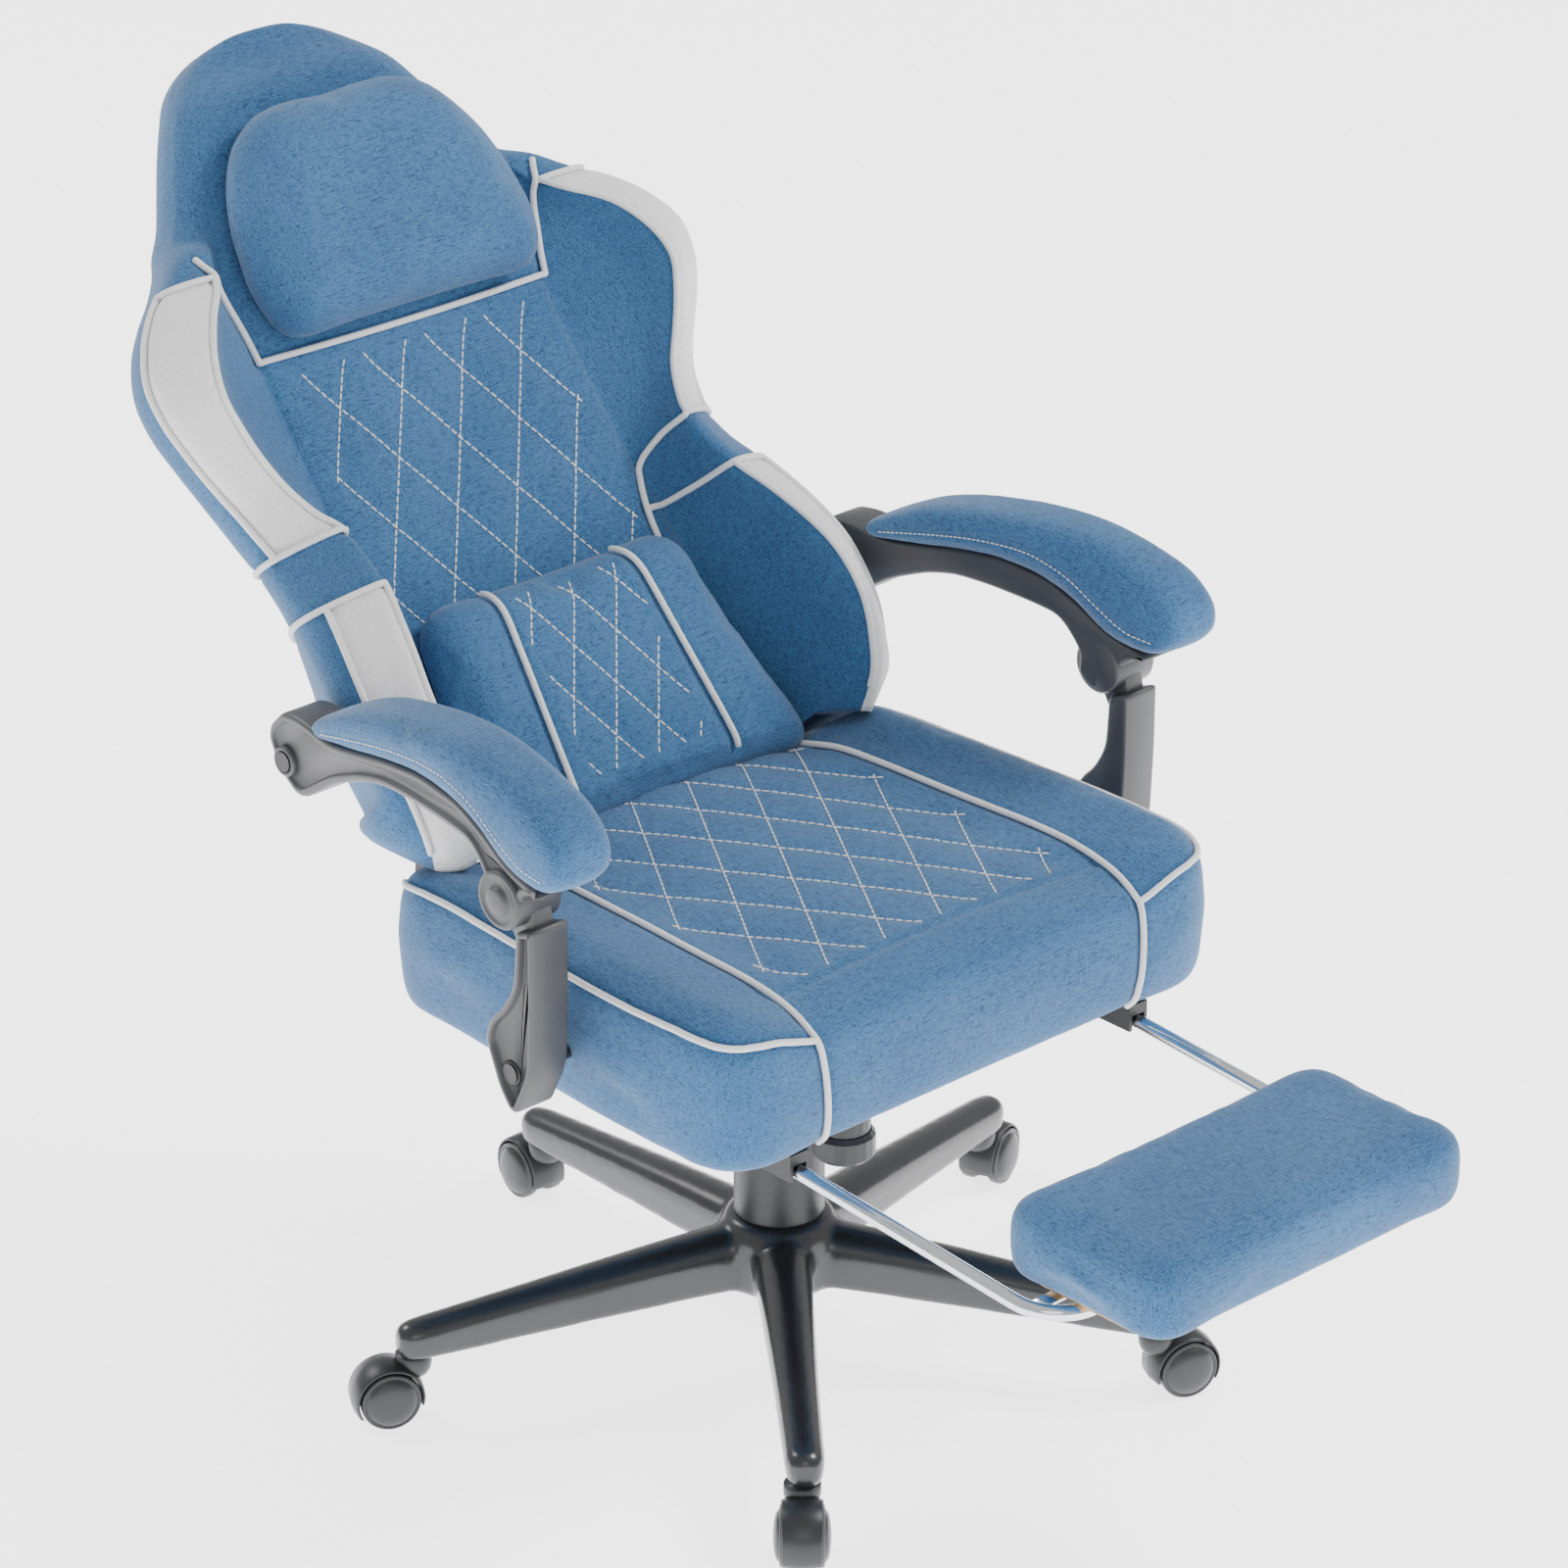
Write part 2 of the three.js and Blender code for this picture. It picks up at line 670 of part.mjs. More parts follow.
// ---------- recline hinge ----------
function addReclineBrackets() {
  const footZ = SEAT_BOARD_BOTTOM - GAP;
  const footDepth = 22;
  const boardRear = SEAT_REAR_Y - BOARD_INSET;
  // An L in side view: a foot under the board, and a leg behind the cushion up to the hinge.
  const legFront = SEAT_REAR_Y + 9;
  const legRear = HINGE_Y + HINGE_PLATE_R;
  const leg = rounded([
    [boardRear - 80, footZ, 0],
    [boardRear - 80, footZ - footDepth, 6],
    [legRear, footZ - footDepth, 18],
    [legRear, HINGE_Z, 0],
    [legFront, HINGE_Z, 0],
    [legFront, footZ, 0],
  ]);
  const hole = rodX(HINGE_PIN_R + GAP, BRACKET_IN - 5, BRACKET_OUT + 5, HINGE_Y, HINGE_Z);
  const disc = rodX(HINGE_PLATE_R, BRACKET_IN, BRACKET_OUT, HINGE_Y, HINGE_Z, 20);
  const bracket = cut(join(slabX(leg, BRACKET_IN, BRACKET_OUT), disc), hole);
  for (const { name, sign } of SIDES) {
    piece("recline_bracket_" + name, onSide(bracket, sign), blackMetal);
    const pin = rodX(HINGE_PIN_R, BACK_FRAME_X - 8, BRACKET_OUT + 3, HINGE_Y, HINGE_Z);
    piece("recline_pin_" + name, onSide(pin, sign), steel);
  }
  // The lever turns on the hinge line, beside the cushion's rear corner.
  const leverX = SEAT_REAR_WIDTH / 2 + 9;
  const arm = rounded([
    [HINGE_Y + 12, HINGE_Z - 10, 6],
    [HINGE_Y + 12, HINGE_Z + 10, 6],
    [HINGE_Y - 20, HINGE_Z + 10, 6],
    [HINGE_Y - 120, HINGE_Z - 6, 8],
    [HINGE_Y - 120, HINGE_Z - 28, 8],
    [HINGE_Y - 30, HINGE_Z - 14, 6],
  ]);
  const shaft = rodX(HINGE_PIN_R, BRACKET_OUT + 3 + GAP, leverX + 4, HINGE_Y, HINGE_Z);
  piece("recline_lever", join(slabX(arm, leverX, leverX + 8), shaft), blackPlastic);
}

// ---------- back, in its own frame: v up along the back, w forwards, hinge line at v = w = 0 ----------
const back = new THREE.Group();
const inBack = (x, v, w) => new THREE.Vector3(x, -w, v);

// An outline drawn in (x, v) and given thickness from w0 to w1.
const slabW = (shape, w0, w1, bevel = 0) => slabZ(shape, w0, w1, bevel).rotateX(Math.PI / 2);

const spline = (points) => new THREE.SplineCurve(points.map(([a, b]) => new THREE.Vector2(a, b)));

// The core's half-width at heights along the back: hips, then between the shoulder bolsters,
// then over them, and in to the crown.
function coreOutline() {
  const shoulder = BACK_WIDTH / 2;
  const top = BACK_HEIGHT;
  return [
    [BACK_START, CORE_HALF_HIP - 10],
    [BACK_START + 12, CORE_HALF_HIP - GAP],
    [HIP_TOP - 8, CORE_HALF_HIP - GAP],
    [HIP_TOP - 1, CORE_HALF_SHOULDER - GAP],
    [SHOULDER_TOP + GAP, CORE_HALF_SHOULDER - GAP],
    [SHOULDER_TOP + 2, shoulder - 66],
    [top - 170, shoulder - 86],
    [top - 161, shoulder - 94],
    [top - 132, shoulder - 115],
    [top - 105, shoulder - 129],
    [top - 80, shoulder - 142],
    [top - 54, shoulder - 158],
    [top - 29, shoulder - 179],
    [top - 11, shoulder - 206],
    [top, shoulder - 245],
  ];
}

function backCore() {
  // The head is thinner than the lumbar part: its rear face comes forwards towards the crown.
  const rearAt = (v) => BACK_REAR + 26 * THREE.MathUtils.smoothstep(v, 400, BACK_HEIGHT);
  const edge = 12;
  const rings = coreOutline().map(([v, half]) => {
    const rear = rearAt(v);
    const low = Math.min(edge, half - 4);
    const right = [
      [half - low, rear],
      [half, rear + edge],
      [half, BACK_FRONT - edge],
      [half - low, BACK_FRONT],
    ];
    const left = right.map(([x, w]) => [-x, w]).reverse();
    return [...right, ...left].map(([x, w]) => inBack(x, v, w));
  });
  return cut(loft(rings), frameTube(BACK_FRAME_TUBE_R + GAP));
}

// The steel frame inside the padding: an inverted U that ends in two hinge plates.
function frameTube(radius) {
  const startV = BACK_START - 24;
  const topV = SHOULDER_TOP - 40;
  const x = BACK_FRAME_X - 26;
  const points = [
    inBack(x, startV, 0),
    inBack(x, topV, 0),
    inBack(-x, topV, 0),
    inBack(-x, startV, 0),
  ];
  return bar(bentPath(points, [60, 60]), radius, 22);
}

function backFrame() {
  const x = BACK_FRAME_X;
  const plate = rounded([
    [-HINGE_PLATE_R, 0, 0],
    [HINGE_PLATE_R, 0, 0],
    [HINGE_PLATE_R - 6, BACK_START - 8, 4],
    [-HINGE_PLATE_R + 6, BACK_START - 8, 4],
  ]);
  const pieces = SIDES.flatMap(({ sign }) => [
    onSide(slabX(plate, x - 4, x + 4), sign),
    onSide(rodX(HINGE_PLATE_R, x - 4, x + 4, 0, 0, 20), sign),
    onSide(box(x - 38, x, -12, 12, BACK_START - 34, BACK_START - 12), sign),
  ]);
  const holes = SIDES.map(({ sign }) =>
    onSide(rodX(HINGE_PIN_R + GAP, x - 10, x + 10, 0, 0), sign),
  );
  return cut(join(frameTube(BACK_FRAME_TUBE_R), ...pieces), ...holes);
}

// A side bolster. Its section at each height runs from the core's side over the front edge
// to the outer side; inner and outer give x, and front gives w, of that edge.
function wing(stations) {
  const rings = stations.map(({ v, base, inner, outer, side, inFront, outFront, lean = 0 }) => {
    const at = (x, w) => inBack(x, v - lean * w, w);
    return [
      at(base, BACK_REAR + 14),
      at(base, BACK_FRONT - 4),
      at(inner, inFront),
      at(outer, outFront),
      at(side, (outFront + BACK_REAR) * 0.45),
      at(side - 8, BACK_REAR + 22),
    ];
  });
  return loft(rings);
}

const BOLSTER_LEAN = 0.16; // the hip bolster's lower end rises less at the front than at the rear
const HIP_TOP = 236;
const SHOULDER_TOP = 492;

function hipWing() {
  const side = HIP_WIDTH / 2;
  const base = CORE_HALF_HIP;
  const shape = wing([
    {
      v: BACK_START + 6,
      base,
      inner: side - 42,
      outer: side - 12,
      side: side - 4,
      inFront: 165,
      outFront: 138,
      lean: BOLSTER_LEAN,
    },
    { v: 100, base, inner: side - 44, outer: side - 9, side, inFront: 169, outFront: 142 },
    { v: 150, base, inner: side - 54, outer: side - 16, side: side - 3, inFront: 160, outFront: 136 },
    { v: 195, base, inner: side - 70, outer: side - 32, side: side - 18, inFront: 142, outFront: 118 },
    { v: HIP_TOP, base, inner: side - 80, outer: side - 42, side: side - 30, inFront: 118, outFront: 96 },
  ]);
  const boltV = rearBoltInBack().v;
  const boltW = rearBoltInBack().w;
  return cut(shape, rodX(ARM_BOLT_R + GAP, side - 24, side + 10, -boltW, boltV));
}

function shoulderWing() {
  const side = BACK_WIDTH / 2;
  const base = CORE_HALF_SHOULDER;
  return wing([
    {
      v: HIP_TOP + GAP,
      base,
      inner: side - 94,
      outer: side - 56,
      side: side - 44,
      inFront: 118,
      outFront: 96,
    },
    { v: 300, base, inner: side - 76, outer: side - 44, side: side - 38, inFront: 98, outFront: 84 },
    { v: 342, base, inner: side - 54, outer: side - 18, side: side - 14, inFront: 106, outFront: 88 },
    { v: 385, base, inner: side - 40, outer: side, side, inFront: 117, outFront: 99 },
    { v: 420, base, inner: side - 47, outer: side - 1, side, inFront: 117, outFront: 101 },
    { v: 458, base, inner: side - 72, outer: side - 24, side: side - 20, inFront: 104, outFront: 94 },
    {
      v: SHOULDER_TOP,
      base,
      inner: side - 106,
      outer: side - 62,
      side: side - 58,
      inFront: 78,
      outFront: 76,
    },
  ]);
}

// The arm's rear bolt, seen in the back's own frame.
function rearBoltInBack() {
  const angle = THREE.MathUtils.degToRad(RECLINE_REST);
  const dy = REAR_BOLT_Y - HINGE_Y;
  const dz = REAR_BOLT_Z - HINGE_Z;
  return {
    v: dy * Math.sin(angle) + dz * Math.cos(angle),
    w: -dy * Math.cos(angle) + dz * Math.sin(angle),
  };
}

function addBack() {
  back.position.set(0, HINGE_Y, HINGE_Z);
  back.rotation.x = -THREE.MathUtils.degToRad(RECLINE_REST);
  chair.add(back);
  piece("back_core", backCore(), blueFabric, back);
  piece("back_frame", backFrame(), blackMetal, back);
  const hip = hipWing();
  const shoulder = shoulderWing();
  for (const { name, sign } of SIDES) {
    piece("hip_wing_" + name, onSide(hip, sign), blueFabric, back);
    piece("shoulder_wing_" + name, onSide(shoulder, sign), blueFabric, back);
  }
  const k = BACK_HEIGHT / 684;
  const head = symmetric([
    [CORE_HALF_SHOULDER - 14, 416 * k, 46],
    [CORE_HALF_SHOULDER - 2, 480 * k, 40],
    [CORE_HALF_SHOULDER - 40, 605 * k, 56],
  ]);
  const front = BACK_FRONT + GAP;
  piece("head_pillow", slabW(head, front, front + HEAD_PILLOW_T, 16), blueFabric, back);
  const lumbar = symmetric([
    [CORE_HALF_HIP - 8, 14, 18],
    [CORE_HALF_HIP - 30, 186, 18],
  ]);
  piece("lumbar_pillow", slabW(lumbar, front, front + LUMBAR_T, 10), blueFabric, back);
}

// ---------- armrests ----------
// The beam's top and the pad's underside share this curve, in (y, z) about the elbow.
const ARM_TOP = spline([
  [-52, 20],
  [-30, 25],
  [-7, 30],
  [17, 44],
  [52, 59],
  [102, 63],
  [146, 58],
  [198, 48],
  [226, 42],
]).getPoints(14);

const aboutElbow = ([y, z]) => [ELBOW_Y + y, ELBOW_Z + z];

// Leans a shape drawn at the elbow's x inwards along the beam.
function toedIn(geometry) {
  const p = geometry.attributes.position;
  for (let i = 0; i < p.count; i++) p.setX(i, p.getX(i) - ARM_TOE * (p.getY(i) - ELBOW_Y));
  return geometry;
}

function outlineThrough(points) {
  const shape = new THREE.Shape();
  points.forEach(([y, z], i) => (i ? shape.lineTo(y, z) : shape.moveTo(y, z)));
  shape.closePath();
  return shape;
}

function armBeam() {
  const span = REAR_BOLT_Y - ELBOW_Y;
  const drop = REAR_BOLT_Z - ELBOW_Z;
  const under = spline([
    [span + 24, drop + 12],
    [span + 4, drop - 13],
    [span - 14, drop - 22],
    [span - 42, drop - 8],
    [span - 80, drop + 16],
    [span - 130, drop + 28],
    [68, 36],
    [36, 34],
    [10, 24],
  ]).getPoints(15);
  const tail = [
    [span + 22, drop + 22],
    [span + 12, drop + 34],
    [span - 4, drop + 40],
  ];
  const top = ARM_TOP.map(({ x, y }) => [x, y]).filter(([y]) => y < span - 45);
  const outline = [...under.map(({ x, y }) => [x, y]), [-10, 12], [-45, 12], ...top, ...tail.reverse()];
  const half = ARM_WIDTH / 2;
  const body = toedIn(slabX(outlineThrough(outline.map(aboutElbow)), ARM_X - half, ARM_X + half));
  const lugs = rodX(LUG_R, ARM_X - half, ARM_X + half, ELBOW_Y, ELBOW_Z, 22);
  const slotHalf = TONGUE_WIDTH / 2 + RUN;
  const slot = rodX(LUG_R + 2, ARM_X - slotHalf, ARM_X + slotHalf, ELBOW_Y, ELBOW_Z, 22);
  const pinHole = rodX(ARM_BOLT_R + GAP, ARM_X - 60, ARM_X + 60, ELBOW_Y, ELBOW_Z);
  const boltHole = rodX(ARM_BOLT_R + RUN, ARM_X - 90, ARM_X + 60, REAR_BOLT_Y, REAR_BOLT_Z);
  return cut(join(body, lugs), slot, pinHole, boltHole);
}

function armPad() {
  const under = ARM_TOP.map(({ x, y }) => [x, y + GAP]).filter(([y]) => y < REAR_BOLT_Y - ELBOW_Y - 48);
  const over = spline([
    [-52, 20],
    [-78, 28],
    [-82, 46],
    [-76, 68],
    [-54, 88],
    [-19, 101],
    [26, 106],
    [76, 104],
    [116, 100],
    [166, 88],
    [206, 74],
    [236, 59],
    [under[under.length - 1][0] + 2, under[under.length - 1][1] + 8],
  ]).getPoints(20);
  const outline = [...over.slice(1).map(({ x, y }) => [x, y + GAP]).reverse(), ...under.slice(1)];
  const half = ARM_PAD_WIDTH / 2;
  return toedIn(slabX(outlineThrough(outline.map(aboutElbow)), ARM_X - half, ARM_X + half, 5));
}

// The upright: a foot that flares to the rear round the lower bolt, and a tongue at the elbow.
function armUpright() {
  const half = UPRIGHT_WIDTH / 2;
  const rise = UPRIGHT_RISE;
  const body = rounded([
    [-32, rise - 10, 4],
    [-31, rise - 70, 20],
    [-27, 6, 14],
    [-6, -30, 6],
    [10, -16, 8],
    [25, 22, 16],
    [16, 48, 14],
    [-9, 74, 22],
    [-13, rise - 10, 4],
  ]);
  const toFoot = (g) => g.translate(0, FOOT_Y, FOOT_Z);
  const shaft = toFoot(slabX(body, ARM_X - half, ARM_X + half, 0, 4));
  const clearance = rodX(LUG_R + RUN + 1, ARM_X - 60, ARM_X + 60, ELBOW_Y, ELBOW_Z, 22);
  const tongueHalf = TONGUE_WIDTH / 2;
  const eye = rodX(LUG_R - 1, ARM_X - tongueHalf, ARM_X + tongueHalf, ELBOW_Y, ELBOW_Z, 22);
  const neckShape = rounded([
    [-31, rise - 38, 0],
    [-12, rise - 38, 0],
    [-4, rise, 0],
    [-20, rise, 0],
  ]);
  const neck = toFoot(slabX(neckShape, ARM_X - tongueHalf, ARM_X + tongueHalf));
  const pocketShape = rounded([
    [-22, 64, 6],
    [-20, 12, 10],
    [-5, -18, 6],
    [6, -10, 8],
    [17, 22, 10],
    [8, 42, 12],
    [-12, 62, 6],
  ]);
  const pocket = toFoot(
    slabX(
      pocketShape,
      ARM_X + half - POCKET_DEPTH,
      ARM_X + half + POCKET_DEPTH,
      0,
      3,
    ),
  );
  const elbowHole = rodX(ARM_BOLT_R + GAP, ARM_X - 60, ARM_X + 60, ELBOW_Y, ELBOW_Z);
  const footHole = rodX(ARM_BOLT_R + RUN, ARM_X - 60, ARM_X + 60, FOOT_Y, FOOT_Z);
  return cut(join(cut(shaft, clearance), neck, eye), pocket, elbowHole, footHole);
}

function addArms() {
  const half = ARM_WIDTH / 2;
  const beam = armBeam();
  const pad = armPad();
  const upright = armUpright();
  // A bolt along X whose button head sits on the face at faceX.
  const bolt = (x0, faceX, y, z, headT) => {
    const head = rodX(BUTTON_R, faceX + GAP, faceX + GAP + headT, y, z, 16);
    return join(rodX(ARM_BOLT_R, x0, faceX + GAP + headT / 2, y, z), head);
  };
  const elbowFace = ARM_X + half + ARM_TOE * BUTTON_R;
  const elbowPin = bolt(ARM_X - half, elbowFace, ELBOW_Y, ELBOW_Z, 2.5);
  const pocketFloor = ARM_X + UPRIGHT_WIDTH / 2 - POCKET_DEPTH;
  const footBolt = bolt(SEAT_WIDTH / 2 - BOLT_REACH, pocketFloor, FOOT_Y, FOOT_Z, 3);
  const rearFace = ARM_X + half - ARM_TOE * (REAR_BOLT_Y - BUTTON_R - ELBOW_Y);
  const rearBolt = bolt(HIP_WIDTH / 2 - BOLT_REACH / 2, rearFace, REAR_BOLT_Y, REAR_BOLT_Z, 2.5);
  for (const { name, sign } of SIDES) {
    piece("arm_upright_" + name, onSide(upright, sign), greyPlastic);
    piece("arm_beam_" + name, onSide(beam, sign), greyPlastic);
    piece("arm_pad_" + name, onSide(pad, sign), blueFabric);
    piece("arm_elbow_pin_" + name, onSide(elbowPin, sign), blackPlastic);
    piece("arm_foot_bolt_" + name, onSide(footBolt, sign), blackPlastic);
    piece("arm_rear_bolt_" + name, onSide(rearBolt, sign), blackPlastic);
  }
}

addBase();
addLift();
addMechanism();
addSeat();
addFootrest();
addReclineBrackets();
addBack();
addArms();

chair.position.y = SWIVEL_Y;
const root = new THREE.Group();
root.add(chair);

export default root;
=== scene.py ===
"""The looks of a reclining gaming chair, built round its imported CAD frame.

Lengths in this script are millimetres until a mesh is made. Two frames are used: the row frame,
set out from the swivel axis, and the back's own frame, where v runs up along the reclined back
and w runs forwards out of it, from the recline hinge."""
import json
import math

import bpy
import numpy as np
from mathutils import Vector
from mathutils.bvhtree import BVHTree
from mathutils.kdtree import KDTree
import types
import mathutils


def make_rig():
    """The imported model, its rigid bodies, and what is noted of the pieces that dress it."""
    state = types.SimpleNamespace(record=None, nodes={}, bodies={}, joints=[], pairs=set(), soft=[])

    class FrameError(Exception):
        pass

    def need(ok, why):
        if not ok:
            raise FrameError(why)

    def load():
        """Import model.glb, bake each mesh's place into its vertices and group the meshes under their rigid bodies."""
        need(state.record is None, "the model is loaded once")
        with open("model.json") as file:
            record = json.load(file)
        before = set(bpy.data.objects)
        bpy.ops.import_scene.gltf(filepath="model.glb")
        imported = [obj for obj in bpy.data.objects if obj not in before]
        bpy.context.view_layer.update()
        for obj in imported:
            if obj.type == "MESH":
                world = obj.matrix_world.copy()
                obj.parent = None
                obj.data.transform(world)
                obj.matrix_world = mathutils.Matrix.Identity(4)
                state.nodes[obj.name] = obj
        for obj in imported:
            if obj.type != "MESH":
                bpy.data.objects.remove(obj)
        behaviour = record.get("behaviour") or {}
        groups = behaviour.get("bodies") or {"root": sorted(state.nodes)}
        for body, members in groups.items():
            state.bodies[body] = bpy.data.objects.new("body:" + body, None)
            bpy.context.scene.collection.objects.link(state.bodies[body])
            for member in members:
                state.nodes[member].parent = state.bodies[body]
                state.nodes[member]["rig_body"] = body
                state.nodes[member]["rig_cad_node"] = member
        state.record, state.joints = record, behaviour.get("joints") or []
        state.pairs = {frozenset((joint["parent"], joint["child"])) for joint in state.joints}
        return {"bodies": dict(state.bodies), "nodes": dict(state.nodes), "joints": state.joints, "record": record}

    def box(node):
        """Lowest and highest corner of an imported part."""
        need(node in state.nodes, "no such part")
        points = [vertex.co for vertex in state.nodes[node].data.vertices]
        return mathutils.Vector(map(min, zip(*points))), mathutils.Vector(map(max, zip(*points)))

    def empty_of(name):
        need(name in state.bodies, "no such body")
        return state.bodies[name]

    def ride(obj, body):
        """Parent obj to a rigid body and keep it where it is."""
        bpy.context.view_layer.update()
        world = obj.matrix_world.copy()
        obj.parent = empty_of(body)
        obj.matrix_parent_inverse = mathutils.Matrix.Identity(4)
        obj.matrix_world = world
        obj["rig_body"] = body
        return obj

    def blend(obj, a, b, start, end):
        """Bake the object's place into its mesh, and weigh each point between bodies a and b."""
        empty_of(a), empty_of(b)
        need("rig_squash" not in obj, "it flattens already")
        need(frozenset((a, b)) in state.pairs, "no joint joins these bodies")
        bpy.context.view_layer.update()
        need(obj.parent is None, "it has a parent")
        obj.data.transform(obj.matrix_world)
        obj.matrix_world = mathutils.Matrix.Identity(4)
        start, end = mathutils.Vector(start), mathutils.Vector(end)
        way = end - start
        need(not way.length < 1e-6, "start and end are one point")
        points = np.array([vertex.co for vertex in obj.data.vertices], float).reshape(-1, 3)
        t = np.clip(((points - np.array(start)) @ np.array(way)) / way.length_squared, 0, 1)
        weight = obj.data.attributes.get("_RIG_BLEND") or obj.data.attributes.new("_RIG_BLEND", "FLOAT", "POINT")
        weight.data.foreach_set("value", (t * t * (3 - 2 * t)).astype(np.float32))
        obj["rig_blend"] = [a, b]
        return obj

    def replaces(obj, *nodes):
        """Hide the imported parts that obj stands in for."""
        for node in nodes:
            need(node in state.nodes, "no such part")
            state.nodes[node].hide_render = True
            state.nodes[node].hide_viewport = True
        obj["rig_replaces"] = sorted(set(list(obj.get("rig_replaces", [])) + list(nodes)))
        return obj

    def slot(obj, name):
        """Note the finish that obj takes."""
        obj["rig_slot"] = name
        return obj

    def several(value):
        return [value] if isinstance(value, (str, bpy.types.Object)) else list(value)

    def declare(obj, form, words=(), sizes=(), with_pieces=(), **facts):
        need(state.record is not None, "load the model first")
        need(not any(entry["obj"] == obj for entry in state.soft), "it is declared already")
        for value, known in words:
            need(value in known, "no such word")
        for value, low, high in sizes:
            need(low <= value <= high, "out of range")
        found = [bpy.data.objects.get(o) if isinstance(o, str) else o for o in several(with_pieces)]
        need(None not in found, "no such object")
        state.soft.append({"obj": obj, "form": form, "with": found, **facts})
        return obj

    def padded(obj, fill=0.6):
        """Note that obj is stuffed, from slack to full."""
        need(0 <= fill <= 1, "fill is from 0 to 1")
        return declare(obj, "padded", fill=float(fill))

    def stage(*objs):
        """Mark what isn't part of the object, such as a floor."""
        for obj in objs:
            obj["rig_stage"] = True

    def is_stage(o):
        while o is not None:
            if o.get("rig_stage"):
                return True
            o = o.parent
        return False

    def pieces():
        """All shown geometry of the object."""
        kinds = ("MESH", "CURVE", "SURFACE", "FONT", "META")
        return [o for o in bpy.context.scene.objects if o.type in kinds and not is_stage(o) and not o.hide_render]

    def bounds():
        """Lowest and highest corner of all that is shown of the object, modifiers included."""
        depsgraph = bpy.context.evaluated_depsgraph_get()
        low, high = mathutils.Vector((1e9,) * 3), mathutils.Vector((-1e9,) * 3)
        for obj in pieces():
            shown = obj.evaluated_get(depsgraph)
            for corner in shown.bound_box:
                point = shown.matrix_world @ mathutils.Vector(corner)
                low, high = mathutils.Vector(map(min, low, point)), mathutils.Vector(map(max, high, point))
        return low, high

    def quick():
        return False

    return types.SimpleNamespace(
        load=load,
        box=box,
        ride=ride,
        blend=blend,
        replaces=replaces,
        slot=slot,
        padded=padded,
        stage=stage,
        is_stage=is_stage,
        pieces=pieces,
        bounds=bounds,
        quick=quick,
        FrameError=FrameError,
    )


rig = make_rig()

MM = 0.001
SIDES = {"left": 1, "right": -1}
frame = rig.load()
cad_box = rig.bounds()
scene = bpy.context.scene
joints = {j["name"]: j for j in frame["joints"]}


def middle(node):
    """The middle of a CAD node's box, in millimetres."""
    low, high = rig.box(node)
    return np.array((low + high) / 2) / MM


SWIVEL_Y = middle("lift_cylinder")[1]
HINGE = np.array(joints["recline"]["pos_m"]) / MM
UP_BACK = np.array(joints["lumbar_shift"]["axis"])
OUT_BACK = np.array([0, -UP_BACK[2], UP_BACK[1]])
RECLINE = math.atan2(UP_BACK[1], UP_BACK[2])
ELBOW = np.array(joints["arm_elbow_left"]["pos_m"]) / MM
FOOT = np.array(joints["arm_foot_left"]["pos_m"]) / MM
ARM_TOE = 0.09  # inward slope of the armrests towards the rear
PIPING_R = 2.6
BACK_PIPING_R = 2.7
PIPING_LIFT = 0.8  # how far a piping's middle stands off the cover
ABOVE = 600  # a height over the seat, from which points are dropped on to it
BEFORE = 220  # a distance in front of the back, from which points are pushed on to it


def from_swivel(points):
    """Points measured from the swivel axis, in the row frame."""
    return np.asarray(points, float) + [0, SWIVEL_Y, 0]


def from_back(points):
    """Points (x, v, w) of the back's own frame, in the row frame."""
    p = np.asarray(points, float)
    x_axis = np.array([1.0, 0, 0])
    return HINGE * [0, 1, 1] + p[..., :1] * x_axis + p[..., 1:2] * UP_BACK + p[..., 2:3] * OUT_BACK


def into_back(points):
    """Row-frame points as (x, v, w) of the back's own frame."""
    p = np.asarray(points, float) - HINGE * [0, 1, 1]
    return np.stack([p[..., 0], p @ UP_BACK, p @ OUT_BACK], -1)


# ---------- the camera ----------
def add_camera():
    data = bpy.data.cameras.new("camera")
    data.lens = 145.3
    data.sensor_width = 36
    data.clip_end = 100
    camera = bpy.data.objects.new("camera", data)
    camera.location = from_swivel([-2970, -3214, 2538]) * MM
    camera.rotation_euler = (math.radians(64.94), 0, math.radians(-42.79))
    scene.collection.objects.link(camera)
    scene.camera = camera


# ---------- materials ----------
def srgb(r, g, b):
    """A display colour, 0 to 255, as a linear one."""
    shares = [c / 255 for c in (r, g, b)]
    return tuple(c / 12.92 if c < 0.04 else ((c + 0.055) / 1.055) ** 2.4 for c in shares) + (1,)


